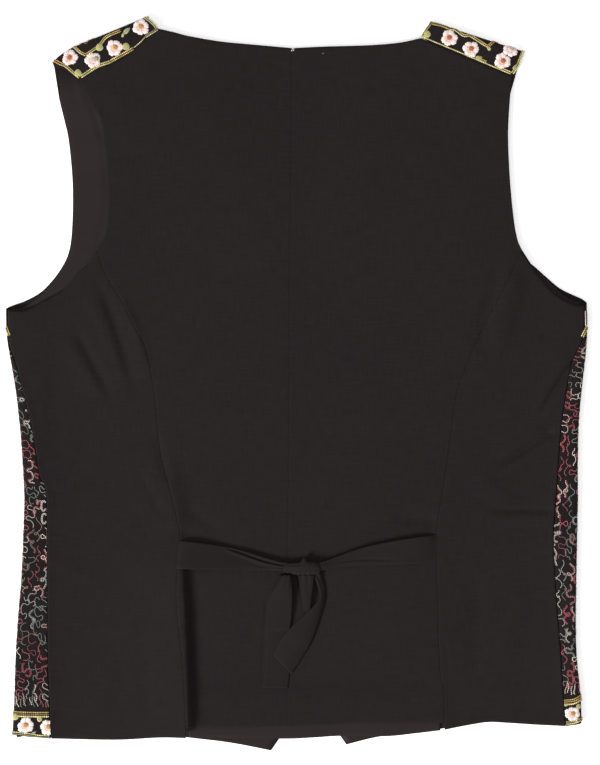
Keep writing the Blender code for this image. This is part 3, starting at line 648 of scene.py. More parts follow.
def quads_of(rows: int, columns: int, closed: bool = False) -> Array:
    """Lists the quads of a grid of points, whose last column meets the first where it is closed."""
    index = np.arange(rows * columns).reshape(rows, columns)
    if closed:
        index = np.concatenate([index, index[:, :1]], axis=1)
    quads = np.stack([index[:-1, :-1], index[:-1, 1:], index[1:, 1:], index[1:, :-1]], axis=-1)
    return quads.reshape(-1, 4)


def new_object(name: str, points: Array, faces: list[list[int]],
               material: bpy.types.Material) -> bpy.types.Object:
    """Makes a smooth object from points in millimetres, its faces and its material."""
    mesh = bpy.data.meshes.new(name)
    mesh.from_pydata((points.reshape(-1, 3) * MM).tolist(), [], faces)
    mesh.materials.append(material)
    mesh.shade_smooth()
    made = bpy.data.objects.new(name, mesh)
    bpy.context.scene.collection.objects.link(made)
    return made


def lay_cut(mesh: bpy.types.Mesh, pattern: Array) -> None:
    """Gives every corner of a mesh its place in the flat pattern, as the UV that the cloth reads."""
    corners = np.zeros(len(mesh.loops), np.int32)
    mesh.loops.foreach_get("vertex_index", corners)
    place = (pattern.reshape(-1, 2) * MM + 0.5)[corners]
    mesh.uv_layers.new(name="cut").data.foreach_set("uv", place.astype(np.float32).ravel())


@dataclass
class MeshParts:
    """Vertices, faces and values for each vertex, gathered into one mesh."""

    points: list[Array] = field(default_factory=list)
    faces: list[list[int]] = field(default_factory=list)
    colours: list[Array] = field(default_factory=list)
    runs: list[Array] = field(default_factory=list)
    count: int = 0

    def add(self, points: Array, faces: list[list[int]], colour: Array | Colour, run: Array) -> None:
        """Adds one closed or open surface.

        Args:
            points: its vertices.
            faces: its faces, by its own vertex numbers.
            colour: one colour, or one for each vertex.
            run: three values for each vertex that the finish reads.
        """
        self.points.append(points)
        self.faces.extend((np.asarray(face) + self.count).tolist() for face in faces)
        self.colours.append(np.broadcast_to(colour, (len(points), 3)))
        self.runs.append(run)
        self.count += len(points)

    def build(self, name: str, material: bpy.types.Material) -> bpy.types.Object:
        """Makes one object of what was gathered, with its colours and runs as attributes."""
        made = new_object(name, np.concatenate(self.points), self.faces, material)
        shade = np.concatenate([np.concatenate(self.colours), np.ones((self.count, 1))], axis=1)
        colour = made.data.attributes.new("thread_colour", "FLOAT_COLOR", "POINT")
        colour.data.foreach_set("color", shade.astype(np.float32).ravel())
        run = made.data.attributes.new("thread_run", "FLOAT_VECTOR", "POINT")
        run.data.foreach_set("vector", np.concatenate(self.runs).astype(np.float32).ravel())
        return made


class NodeTree:
    """Short calls that add and join the nodes of a material or a group."""

    def __init__(self, tree: bpy.types.NodeTree) -> None:
        """Keeps the tree that is filled."""
        self.tree = tree

    def add(self, kind: str, **settings: object) -> bpy.types.Node:
        """Adds a node of a kind, with some of its settings."""
        node = self.tree.nodes.new(kind)
        for name, value in settings.items():
            setattr(node, name, value)
        return node

    def feed(self, socket: Socket, value: object) -> None:
        """Sets a socket to a value, or joins it to another socket."""
        if isinstance(value, Socket):
            self.tree.links.new(value, socket)
        else:
            socket.default_value = value

    def math(self, operation: str, *values: object) -> Socket:
        """Adds a sum on numbers and gives its result."""
        node = self.add("ShaderNodeMath", operation=operation)
        for socket, value in zip(node.inputs, values):
            self.feed(socket, value)
        return node.outputs[0]

    def dress(self, node: bpy.types.Node, values: dict[str, object]) -> None:
        """Sets or joins the named inputs of a node."""
        for label, value in values.items():
            self.feed(node.inputs[label], value)

    def group(self, tree: bpy.types.NodeTree, values: dict[str, object]) -> bpy.types.Node:
        """Adds a group and feeds its inputs."""
        node = self.add("ShaderNodeGroup", node_tree=tree)
        self.dress(node, values)
        return node

    def mix(self, factor: object, first: object, second: object, blend: str = "MIX") -> Socket:
        """Mixes two colours by a factor."""
        node = self.add("ShaderNodeMix", data_type="RGBA", blend_type=blend)
        for index, value in ((0, factor), (6, first), (7, second)):
            self.feed(node.inputs[index], value)
        return node.outputs[2]

    def tinted(self, colour: Socket, shade: Socket) -> Socket:
        """Multiplies a colour by a grey."""
        grey = self.add("ShaderNodeCombineColor")
        for socket in grey.inputs:
            self.feed(socket, shade)
        return self.mix(1.0, colour, grey.outputs[0], "MULTIPLY")

    def bump(self, height: Socket, strength: float, depth: float) -> Socket:
        """Turns a height into a normal, for a relief as deep as given in millimetres."""
        node = self.add("ShaderNodeBump")
        self.dress(node, {"Strength": strength, "Distance": depth * MM, "Height": height})
        return node.outputs[0]

    def noise(self, vector: Socket, scale: object, detail: float = 2.0) -> Socket:
        """Adds a noise pattern and gives its value."""
        node = self.add("ShaderNodeTexNoise")
        self.dress(node, {"Vector": vector, "Scale": scale, "Detail": detail})
        return node.outputs["Fac"]

    def stretch(self, vector: Socket, scale: tuple[float, float, float]) -> Socket:
        """Stretches a pattern's coordinates."""
        node = self.add("ShaderNodeMapping")
        self.dress(node, {"Vector": vector, "Scale": scale})
        return node.outputs["Vector"]

    def between(self, value: object, low: float, high: float, start: float, end: float) -> Socket:
        """Maps a range of values to another."""
        node = self.add("ShaderNodeMapRange")
        for socket, number in zip(node.inputs, (value, low, high, start, end)):
            self.feed(socket, number)
        return node.outputs[0]


class GroupKit:
    """The node groups that several finishes use, each made once."""

    def __init__(self) -> None:
        """Builds the groups."""
        self.weave = self._weave()
        self.slub = self._slub()
        self.twist = self._twist()

    @staticmethod
    def _group(name: str, inputs: dict[str, str], outputs: dict[str, str]) -> tuple[NodeTree, dict, dict]:
        """Makes a group with named inputs and outputs."""
        tree = bpy.data.node_groups.new(name, "ShaderNodeTree")
        for label, kind in inputs.items():
            tree.interface.new_socket(label, in_out="INPUT", socket_type=kind)
        for label, kind in outputs.items():
            tree.interface.new_socket(label, in_out="OUTPUT", socket_type=kind)
        nodes = NodeTree(tree)
        return nodes, nodes.add("NodeGroupInput").outputs, nodes.add("NodeGroupOutput").inputs

    def _weave(self) -> bpy.types.NodeTree:
        """Plain weave: the height is half of 1 + sin(warp) times sin(weft), for a given pitch."""
        nodes, given, result = self._group(
            "plain_weave", {"Vector": "NodeSocketVector", "Pitch": "NodeSocketFloat"},
            {"Height": "NodeSocketFloat"},
        )
        parts = nodes.add("ShaderNodeSeparateXYZ")
        nodes.feed(parts.inputs[0], given["Vector"])
        turn = nodes.math("DIVIDE", 2.0 * math.pi, given["Pitch"])
        warp = nodes.math("SINE", nodes.math("MULTIPLY", parts.outputs[0], turn))
        weft = nodes.math("SINE", nodes.math("MULTIPLY", parts.outputs[1], turn))
        height = nodes.math("MULTIPLY_ADD", nodes.math("MULTIPLY", warp, weft), 0.5, 0.5)
        nodes.feed(result["Height"], height)
        return nodes.tree

    def _slub(self) -> bpy.types.NodeTree:
        """Uneven yarn: one noise drawn out along the warp and one along the weft, and a broad cloud."""
        nodes, given, result = self._group(
            "uneven_yarn", {"Vector": "NodeSocketVector"},
            {"Streaks": "NodeSocketFloat", "Cloud": "NodeSocketFloat"},
        )
        down = nodes.noise(nodes.stretch(given["Vector"], (1000.0, 70.0, 1.0)), 1.0, 2.0)
        across = nodes.noise(nodes.stretch(given["Vector"], (60.0, 950.0, 1.0)), 1.0, 2.0)
        nodes.feed(result["Streaks"], nodes.math("MULTIPLY_ADD", nodes.math("ADD", down, across), 0.5, 0.0))
        nodes.feed(result["Cloud"], nodes.noise(given["Vector"], 9.0, 3.0))
        return nodes.tree

    def _twist(self) -> bpy.types.NodeTree:
        """Spun thread: stripes that run round it, from the run and the angle at each point."""
        nodes, given, result = self._group(
            "spun_thread",
            {"Run": "NodeSocketVector", "Pitch": "NodeSocketFloat", "Plies": "NodeSocketFloat"},
            {"Height": "NodeSocketFloat", "Fray": "NodeSocketFloat"},
        )
        parts = nodes.add("ShaderNodeSeparateXYZ")
        nodes.feed(parts.inputs[0], given["Run"])
        angle = nodes.math("ARCTAN2", parts.outputs[2], parts.outputs[1])
        turns = nodes.math("DIVIDE", parts.outputs[0], given["Pitch"])
        ply_angle = nodes.math("MULTIPLY", angle, given["Plies"])
        phase = nodes.math("MULTIPLY_ADD", turns, 2.0 * math.pi, ply_angle)
        nodes.feed(result["Height"], nodes.math("MULTIPLY_ADD", nodes.math("COSINE", phase), -0.5, 0.5))
        nodes.feed(result["Fray"], nodes.noise(given["Run"], 1.6, 2.0))
        return nodes.tree


def new_material(name: str) -> tuple[bpy.types.Material, NodeTree, bpy.types.Node]:
    """Makes a material with its Principled shader."""
    material = bpy.data.materials.new(name)
    material.use_nodes = True
    nodes = NodeTree(material.node_tree)
    return material, nodes, material.node_tree.nodes["Principled BSDF"]


@dataclass(frozen=True)
class WovenFinish:
    """A plain woven cloth, with its slubs, its broad shading and its soft sheen."""

    name: str
    dark: Colour
    light: Colour
    roughness: float
    sheen: float
    pitch: float
    depth: float
    streaks: float = 0.16

    def build(self, groups: GroupKit) -> bpy.types.Material:
        """Makes the material.

        Args:
            groups: the shared node groups.

        Returns:
            The material, which reads the piece's own cut as its coordinates.
        """
        material, nodes, shader = new_material(self.name)
        cut = nodes.add("ShaderNodeUVMap", uv_map="cut").outputs[0]
        slub = nodes.group(groups.slub, {"Vector": cut})
        weave = nodes.group(groups.weave, {"Vector": cut, "Pitch": self.pitch * MM})
        streaks, yarns = slub.outputs["Streaks"], weave.outputs["Height"]
        cloud = nodes.between(slub.outputs["Cloud"], 0.35, 0.65, 0.0, 1.0)
        colour = nodes.mix(cloud, (*self.dark, 1.0), (*self.light, 1.0))
        streak = nodes.between(streaks, 0.3, 0.7, 1.0 - self.streaks, 1.0 + self.streaks)
        # The weave's height also tints the colour: painted shade in the weave's hollows and a slight painted
        # highlight on its crowns.
        yarn = nodes.between(yarns, 0.0, 1.0, 0.86, 1.08)
        height = nodes.math("MULTIPLY_ADD", streaks, 0.8, yarns)
        nodes.dress(shader, {
            "Base Color": nodes.tinted(colour, nodes.math("MULTIPLY", streak, yarn)),
            "Roughness": nodes.between(streaks, 0.3, 0.7, self.roughness - 0.06, self.roughness + 0.06),
            "Normal": nodes.bump(height, 0.55, self.depth),
            "Sheen Weight": self.sheen,
            "Sheen Roughness": 0.45,
            "Sheen Tint": (0.95, 0.86, 0.84, 1.0),
            "Specular IOR Level": 0.09,
        })
        return material


@dataclass(frozen=True)
class ThreadFinish:
    """Thread of any colour: silk or cotton stitches, or gilt cord."""

    name: str
    roughness: float
    metal: float
    sheen: float
    pitch: float
    plies: float
    depth: float
    contrast: float

    def build(self, groups: GroupKit) -> bpy.types.Material:
        """Makes the material, which reads the colour and the run of each piece of thread."""
        material, nodes, shader = new_material(self.name)
        colour = nodes.add("ShaderNodeAttribute", attribute_name="thread_colour").outputs["Color"]
        run = nodes.add("ShaderNodeAttribute", attribute_name="thread_run").outputs["Vector"]
        twist = nodes.group(groups.twist, {"Run": run, "Pitch": self.pitch, "Plies": self.plies})
        turned, fray = twist.outputs["Height"], twist.outputs["Fray"]
        # The twist's height also tints the colour: painted shade in the grooves between the plies and a
        # painted highlight on their crowns.
        ply_light_and_shade = nodes.between(turned, 0.0, 1.0, 1.0 - self.contrast, 1.0 + 0.3 * self.contrast)
        shade = nodes.math("MULTIPLY", ply_light_and_shade, nodes.between(fray, 0.3, 0.7, 0.82, 1.12))
        nodes.dress(shader, {
            "Base Color": nodes.tinted(colour, shade),
            "Roughness": nodes.between(fray, 0.3, 0.7, self.roughness - 0.08, self.roughness + 0.08),
            "Normal": nodes.bump(turned, 0.6, self.depth),
            "Metallic": self.metal,
            "Sheen Weight": self.sheen,
            "Sheen Roughness": 0.4,
        })
        return material


@dataclass(frozen=True)
class FloorFinish:
    """A plain pale surface with a faint mottle."""

    name: str = "pale_surface"
    shade: float = 0.92
    glow: float = 0.34

    def build(self) -> bpy.types.Material:
        """Makes the material on Object coordinates."""
        material, nodes, shader = new_material(self.name)
        place = nodes.add("ShaderNodeTexCoord").outputs["Object"]
        mottle = nodes.noise(place, 3.0, 3.0)
        low = (self.shade - 0.01,) * 3
        high = (self.shade + 0.01,) * 3
        nodes.dress(shader, {
            "Base Color": nodes.mix(mottle, (*low, 1.0), (*high, 1.0)),
            "Roughness": 0.9,
            "Specular IOR Level": 0.1,
            "Emission Color": (1.0, 1.0, 0.99, 1.0),
            "Emission Strength": self.glow,
        })
        return material


class Finishes:
    """Every finish of the vest, made once."""

    def __init__(self) -> None:
        """Makes the shared groups and the materials."""
        groups = GroupKit()
        self.back = WovenFinish(
            "black_back_cloth", (0.0111, 0.0082, 0.0087), (0.0122, 0.0089, 0.0093), 0.84, 0.024, 0.62, 0.05,
            0.30,
        ).build(groups)
        self.tie = WovenFinish(
            "black_tie_cloth", (0.0110, 0.0080, 0.0085), (0.0120, 0.0087, 0.0091), 0.82, 0.02, 0.62, 0.05,
            0.20,
        ).build(groups)
        self.lining = WovenFinish(
            "black_lining", (0.0153, 0.0104, 0.0110), (0.0176, 0.0119, 0.0125), 0.62, 0.03, 0.40, 0.03, 0.10,
        ).build(groups)
        self.front = WovenFinish(
            "black_embroidery_ground", (0.0092, 0.0070, 0.0073), (0.0124, 0.0094, 0.0098),
            0.92, 0.03, 0.90, 0.08,
            0.30,
        ).build(groups)
        chain = ThreadFinish("chain_stitch_thread", 0.60, 0.0, 0.10, 1.45, 0.0, 0.12, 0.60)
        self.thread = chain.build(groups)
        self.silk = ThreadFinish("satin_stitch_silk", 0.52, 0.0, 0.12, 40.0, 34.0, 0.16, 0.34).build(groups)
        self.gilt = ThreadFinish("gilt_cord", 0.42, 0.35, 0.03, 1.3, 1.0, 0.20, 0.62).build(groups)


@dataclass
class ClothPiece:
    """A piece of cloth: the grid of its outer face, with a wall behind it."""

    name: str
    node: str
    points: Array
    pattern: Array
    material: bpy.types.Material
    slot: Slot
    wall: float = 1.2
    upward: bool = True
    rests_on: tuple[str, ...] = ()
    held: str = "laid"

    def build(self) -> bpy.types.Object:
        """Makes the shell, declares its cut, and puts it in the place of its node."""
        rows, columns = self.points.shape[:2]
        quads = quads_of(rows, columns)
        middle = (rows // 2, columns // 2)
        here = self.points[middle]
        across = self.points[middle[0], middle[1] + 1] - here
        up = self.points[middle[0] + 1, middle[1]] - here
        if (np.cross(across, up)[2] > 0) != self.upward:
            quads = quads[:, ::-1]
        made = new_object(self.name, self.points, quads.tolist(), self.material)
        lay_cut(made.data, self.pattern)
        wall = made.modifiers.new("Wall", "SOLIDIFY")
        wall.thickness = self.wall * MM
        wall.offset = -1.0
        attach(made, "root")
        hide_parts(self.node)
        return made


@dataclass
class BackPanels:
    """The plain back: two centre panels, two side panels and the strip under the centre hem."""

    form: VestForm
    finishes: Finishes
    princess_left: Line = (
        (-88, -271.6), (-89, -249), (-90.4, -222), (-93.2, -198), (-95.6, -170), (-94.6, -140),
        (-92.6, -121), (-94.6, -109), (-98.4, -92), (-103.4, -74), (-107.6, -57), (-110.4, -38),
        (-112.4, -14), (-119, 26), (-129, 46), (-139.5, 67), (-151, 85.5), (-158.4, 106),
    )
    princess_right: Line = (
        (116.3, -267.6), (115.7, -241), (112.6, -225), (111, -170), (110, -119), (115, -84),
        (121, -44), (125, -12), (132, 11), (144, 39), (164, 78), (177.5, 106),
    )
    centre_back: Line = ((-7, -270.2), (-8, -249), (-6.7, -20), (-6, 67), (-4.3, 265.8))
    armhole_left: Line = (
        (-158.4, 106), (-151, 121), (-149, 149), (-150, 166), (-153, 194), (-156, 210), (-161, 219),
        (-167, 230), (-172.6, 241.1),
    )
    armhole_right: Line = (
        (177.5, 106), (174, 114), (171, 130), (168, 161), (166.5, 193), (167, 212), (168, 226),
        (169.5, 243.5),
    )
    underarm_left: Line = (
        (-229.6, 58.7), (-214.5, 59), (-201, 66), (-184, 76), (-174, 88), (-166, 95), (-158.4, 106),
    )
    underarm_right: Line = (
        (227.6, 62), (219, 63.2), (212.6, 66.4), (207, 69.6), (201.5, 74), (195.6, 80.6), (189.2, 88.4),
        (182.8, 98), (177.5, 106),
    )
    neck_left: Line = ((-109.7, 281), (-97, 278), (-85, 275), (-61, 271), (-38, 268.8), (-4.3, 265.8))
    neck_right: Line = ((97.6, 273.5), (81, 270), (57, 268), (22, 267), (-4.3, 265.8))
    side_hem_left: Line = ((-194.7, -280), (-144, -281), (-109, -279), (-88, -279))
    centre_hem_left: Line = ((-88, -271.6), (-45, -271.4), (-7, -270.2))
    centre_hem_right: Line = ((116.3, -267.6), (70, -267.8), (37, -268.5), (-7, -270.2))
    side_hem_right: Line = (
        (211.7, -270), (188, -269), (164, -267.5), (152, -267), (140, -268.5), (116.3, -273),
    )
    facing_edge: Line = (
        (-86, -279), (-13, -280.2), (10, -279.4), (34, -278), (70, -278.2), (93, -276), (113, -273.6),
    )
    facing_top_y: float = -256.0
    facing_height: float = 3.8
    princess_rows: int = 170
    armhole_rows: int = 70
    seam_rows: int = 171
    centre_columns: int = 60
    side_columns: int = 46
    seam_depth: float = 0.2
    round_setback: float = 0.7
    edge_depth: float = 0.5
    lip: float = 0.5
    lip_width: float = 4.0

    def centre(self, name: str, side: Side, princess: Line, armhole: Line, neck: Line, hem: Line) -> None:
        """Builds a centre back panel, from its princess seam and armhole to the centre-back seam.

        Args:
            name: the piece's name.
            side: the side that it lies on.
            princess: its princess seam, from the hem up.
            armhole: its armhole edge, from the princess seam up.
            neck: its neck edge, from the shoulder seam to the centre back.
            hem: its hem, from the princess seam to the centre back.
        """
        rows = graded(length_of(princess), self.princess_rows)
        outer = np.vstack([
            spline(princess, rows),
            spline(armhole, graded(length_of(armhole), self.armhole_rows, False, True))[1:],
        ])
        curve = spline(self.centre_back, even(LINE_POINTS))
        share = run_length(outer, 0) / run_length(outer, 0)[-1]
        height = curve[0, 1] + (curve[-1, 1] - curve[0, 1]) * share
        middle = np.stack([np.interp(height, curve[:, 1], curve[:, 0]), height], axis=1)
        outer = shifted(outer, side.value * 0.5 * CLOSED_GAP)
        shoulder = spline(self.form.shoulder(side).seam, even(60)) + np.array([0.0, -0.5 * SEAM_GAP])
        top = np.vstack([shoulder, spline(neck, even(90))[1:]])
        widths = np.linalg.norm(middle - outer, axis=1)
        widths[-1] = length_of(top)
        corner = length_of(shoulder) / length_of(top)
        rise = smooth(share**2)
        columns = edged_rows(widths, self.centre_columns, 1.0 / 3.0 * (1.0 - rise) + corner * rise)
        plan = coons(outer, middle, lambda f: spline(hem, f), lambda f: along(top, f), columns)
        points = self.form.raised(plan)
        from_outer = run_length(plan, 1)
        to_middle = from_outer[:, -1:] - from_outer
        from_hem = run_length(plan, 0)
        to_top = from_hem[-1:] - from_hem
        points[..., 2] -= edge_turn(from_outer, self.seam_depth, 0.6) + edge_turn(to_middle, 0.13, 0.6)
        points[..., 2] -= edge_turn(from_hem, self.edge_depth) + edge_turn(to_top, self.edge_depth)
        node = f"back_centre_{side.name.lower()}"
        ClothPiece(name, node, points, plan, self.finishes.back, Slot.BACK,
                   rests_on=("front_left", "front_right")).build()

    def side(self, name: str, side: Side, princess: Line, underarm: Line, hem: Line) -> None:
        """Builds a side back panel, from the side seam to the princess seam.

        Args:
            name: the piece's name.
            side: the side that it lies on.
            princess: its princess seam, from the hem up.
            underarm: its armhole edge, from the side seam to the princess seam.
            hem: its hem, from the side seam to the princess seam.
        """
        fold = self.form.fold(side)
        seam = spline(fold.seam, even(self.seam_rows))
        inward = (fold.x_at(seam[:, 1]) - seam[:, 0]) * side.value
        outer = shifted(seam, side.value * 0.5 * SEAM_GAP)
        setback = smooth(1.0 - (inward - 2.0) / self.form.fold_reach)
        outer[:, 0] -= side.value * self.round_setback * setback
        low = np.array([hem[-1], princess[0]], float)
        step = self.seam_rows // 19
        inner = np.vstack([along(low, even(step + 1))[:-1], spline(princess, even(self.seam_rows - step))])
        inner = shifted(inner, -side.value * 0.5 * CLOSED_GAP)
        widths = np.linalg.norm(inner - outer, axis=1)
        columns = edged_rows(widths, self.side_columns)
        plan = coons(outer, inner, lambda f: spline(hem, f), lambda f: spline(underarm, f), columns)
        points = self.form.raised(plan)
        from_outer = run_length(plan, 1)
        to_inner = from_outer[:, -1:] - from_outer
        from_hem = run_length(plan, 0)
        to_top = from_hem[-1:] - from_hem
        lip = self.lip * (1.0 - setback)[:, None] * bell(from_outer, self.lip_width)
        points[..., 2] += lip - edge_turn(to_inner, self.seam_depth, 0.6)
        points[..., 2] -= edge_turn(from_outer, 0.35, 0.5)
        points[..., 2] -= edge_turn(from_hem, self.edge_depth) + edge_turn(to_top, self.edge_depth)
        node = f"back_side_{side.name.lower()}"
        ClothPiece(name, node, points, plan, self.finishes.back, Slot.BACK,
                   rests_on=(f"front_{side.name.lower()}",)).build()

    def facing(self) -> None:
        """Builds the strip that shows under the centre back's hem, from its lower edge up."""
        low = spline(self.facing_edge, even(121))
        high = np.stack([low[:, 0], np.full(len(low), self.facing_top_y)], axis=1)
        share = graded(20.0, 8)[:, None, None]
        plan = low[None] * (1.0 - share) + high[None] * share
        wave = 0.25 * np.sin(plan[..., 0] / 9.0) * bell(share[..., 0], 0.25)
        depth = edge_turn(run_length(plan, 0), 0.4)
        points = np.concatenate([plan, (self.facing_height + wave - depth)[..., None]], axis=-1)
        ClothPiece("hem_facing_cloth", "back_hem_facing", points, plan, self.finishes.lining, Slot.LINING,
                   1.0, rests_on=("front_lining_left", "front_lining_right")).build()

    def build(self) -> None:
        """Builds the five pieces."""
        self.centre("centre_panel_left", Side.LEFT, self.princess_left, self.armhole_left,
                    self.neck_left, self.centre_hem_left)
        self.centre("centre_panel_right", Side.RIGHT, self.princess_right, self.armhole_right,
                    self.neck_right, self.centre_hem_right)
        self.side("side_panel_left", Side.LEFT, self.princess_left, self.underarm_left, self.side_hem_left)
        self.side("side_panel_right", Side.RIGHT, self.princess_right, self.underarm_right,
                  self.side_hem_right)
        self.facing()


@dataclass
class FrontShell:
    """One front: its flat pattern bent round the side fold and over the shoulder, and its lining."""

    form: VestForm
    finishes: Finishes
    side: Side
    hem: Line
    armhole: Line
    neck: Line
    notch_top: float = -244.0
    seam_rows: int = 171
    bridge_rows: int = 8
    arm_rows: int = 56
    wrap_rows: int = 14
    strip_rows: int = 16
    strip_columns: int = 14
    arc_columns: int = 16
    flat_columns: int = 34
    least_strip: float = 1.5
    lining_top: float = 2.5
    lining_inset: float = 0.7
    lining_clear: float = 3.4

    def outline(self) -> tuple[Array, Array, Array, Array, int]:
        """Works out the two sides of the flat pattern.

        Returns:
            The outer side, the inner side, the widths of the strip and of the bend in each row, and
            the number of rows up to the underarm.
        """
        face, sign = FrontFace(self.form, self.side), self.side.value
        fold = self.form.shoulder(self.side)
        direction, outward = fold.axes()
        arc = self.form.shoulder_arc(fold)
        seam_plan = spline(self.form.fold(self.side).seam, even(self.seam_rows))
        seam, extra = face.unroll_side(shifted(seam_plan, -sign * 0.5 * SEAM_GAP))
        arm = spline(self.armhole, even(self.arm_rows) ** 1.5)
        bridge = along([seam[-1], arm[0]], even(self.bridge_rows + 2)[1:-1])
        heights = np.concatenate([[-fold.reach], -fold.reach + arc * even(self.wrap_rows)[1:]])
        ends = even(self.strip_rows + 1)[1:, None]
        gap = 0.5 * SEAM_GAP * outward
        corners = [face.unroll_shoulder(np.array(fold.seam[i], float)) - gap for i in (0, -1)]
        origin = np.array(fold.outer)
        span = np.linalg.norm(np.subtract(fold.inner, fold.outer))
        sides = []
        for start, corner in ((fold.edge_start, corners[0]), (span, corners[1])):
            wrap = origin + start * direction + heights[:, None] * outward
            sides.append(np.vstack([wrap, wrap[-1] + (corner - wrap[-1]) * ends]))
        outer = np.vstack([seam, bridge, arm, sides[0]])
        middle = self.form.centre_front + sign * 0.5 * SEAM_GAP
        notch = along([self.hem[-1], (middle, self.notch_top)], even(21))
        wrapped = len(seam) + self.bridge_rows
        centre = np.linspace(self.notch_top, self.form.neck_bottom, wrapped - 20)[1:]
        centre = np.stack([np.full(len(centre), middle), centre], axis=1)
        collar = spline([(middle, self.form.neck_bottom), *self.neck[1:]], even(len(arm) + 1))[1:]
        inner = np.vstack([notch, centre, collar, sides[1]])
        strip = np.full(len(outer), self.least_strip)
        bend = np.full(len(outer), self.form.side_arc())
        count = len(seam)
        strip[:count] = np.maximum(extra - self.form.side_arc(), self.least_strip)
        bend[:count] = np.minimum(extra - self.least_strip, self.form.side_arc())
        share = even(self.bridge_rows + 2)[1:-1]
        bend[count:wrapped] = bend[count - 1] + (self.form.side_arc() - bend[count - 1]) * share
        return outer, inner, strip, bend, wrapped

    def build(self) -> None:
        """Builds the shell and its lining."""
        face, fold = FrontFace(self.form, self.side), self.form.shoulder(self.side)
        outer, inner, strip, bend, wrapped = self.outline()
        width = np.linalg.norm(inner - outer, axis=1)
        on_strip = graded(10.0, self.strip_columns)[None, :] * strip[:, None]
        on_bend = strip[:, None] + even(self.arc_columns + 1)[None, 1:] * bend[:, None]
        rest = (width - strip - bend)[:, None]
        below = (strip + bend)[:, None] + even(self.flat_columns + 1)[None, 1:] * rest
        columns = np.concatenate([on_strip, on_bend, below], axis=1) / width[:, None]
        blend = smooth((np.arange(len(outer)) - wrapped) / (self.arm_rows - 1.0))[:, None]
        columns = columns * (1.0 - blend) + even(columns.shape[1]) * blend
        gap = 0.5 * SEAM_GAP * fold.axes()[1]
        top = face.unroll_shoulder(spline(fold.seam, even(60))) - gap
        left = len(outer) - 1 - np.arange(len(outer))
        reach = np.clip(1.0 - left / self.strip_rows, 0.0, 1.0)
        corner = outer[0]
        hem = [corner, 0.5 * (corner + np.array(self.hem[0], float)), *self.hem]
        pattern = coons(outer, inner, lambda f: spline(hem, f), lambda f: along(top, f), columns, reach)
        points = face.roll(pattern)
        from_seam = run_length(pattern, 1)
        on_side = (np.arange(len(outer)) < wrapped)[:, None] * (strip > 2.0)[:, None]
        to_top = run_length(pattern, 0)[-1:] - run_length(pattern, 0)
        points[..., 2] -= on_side * edge_turn(from_seam, 0.35, 0.8) + edge_turn(to_top, 0.5, 0.8)
        word = self.side.name.lower()
        ClothPiece(f"front_shell_{word}", f"front_{word}", points, pattern, self.finishes.front,
                   Slot.FRONT, upward=False).build()
        self.lining(outer, inner, wrapped)

    def lining(self, outer: Array, inner: Array, wrapped: int) -> None:
        """Builds the lining: flat on the front, inside its folds and just inside its free edges.

        Args:
            outer: the outer side of the front's pattern.
            inner: the inner side of the front's pattern.
            wrapped: the number of rows up to the underarm.
        """
        sign, fold = self.side.value, self.form.shoulder(self.side)
        direction, outward = fold.axes()
        inset, clear = self.lining_inset, self.lining_clear
        rows = wrapped + self.arm_rows
        outer, inner = outer[:rows].copy(), inner[:rows].copy()
        edge_x = self.form.fold(self.side).x_at(outer[:wrapped, 1]) - sign * clear
        outer[:wrapped, 0] = edge_x
        outer[0, 1] = self.hem[0][1] + inset
        outer[wrapped:, 0] -= sign * inset
        pull = bell(np.arange(rows) - wrapped - 4.0, 9.0)[:, None]
        outer = outer + pull * np.array([-sign * 4.0, -2.5])
        inner[:, 0] += sign * inset
        inner[0] += np.array([sign * 0.2, 1.2])
        low = -(fold.reach + 1.5) * outward
        outer = np.vstack([outer, np.array(fold.outer) + low + direction])
        inner = np.vstack([inner, np.array(fold.inner) + low - direction])
        hem = np.array(self.hem, float) + np.array([0.0, inset])
        hem[0, 0], hem[-1] = outer[0, 0], inner[0]
        ends = [outer[-1], inner[-1]]
        columns = graded(200.0, 40)
        plan = coons(outer, inner, lambda f: spline(hem, f), lambda f: along(ends, f), columns)
        x, y = plan[..., 0], plan[..., 1]
        shows = smooth((np.abs(x) - 148.0) / 8.0) * smooth((y - 70.0) / 20.0) * smooth((236.0 - y) / 16.0)
        folds = 0.5 * np.sin((y + 0.6 * sign * x) / 7.5) * np.sin(y / 23.0 + 0.8)
        height = self.lining_top + shows * folds
        for crease in LINING_CREASES:
            crease.add_to(height, x, y)
        height = height - edge_turn(run_length(plan, 1), 0.3)
        points = np.concatenate([plan, height[..., None]], axis=-1)
        word = self.side.name.lower()
        ClothPiece(f"front_lining_cloth_{word}", f"front_lining_{word}", points, plan,
                   self.finishes.lining, Slot.LINING, 1.0, rests_on=(f"front_{word}",)).build()


@dataclass(frozen=True)
class TieSection:
    """A section across a tie: its edges in plan, its lift off the back, its bulge and its first
    edge's lean upward."""

    first: Point
    second: Point
    lift: float
    bulge: float
    lean: float = 0.0


@dataclass(frozen=True)
class LoopSection:
    """A section of a bow loop: its y, its side edges and its outer face above the flat back."""

    y: float
    first_x: float
    second_x: float
    height: float


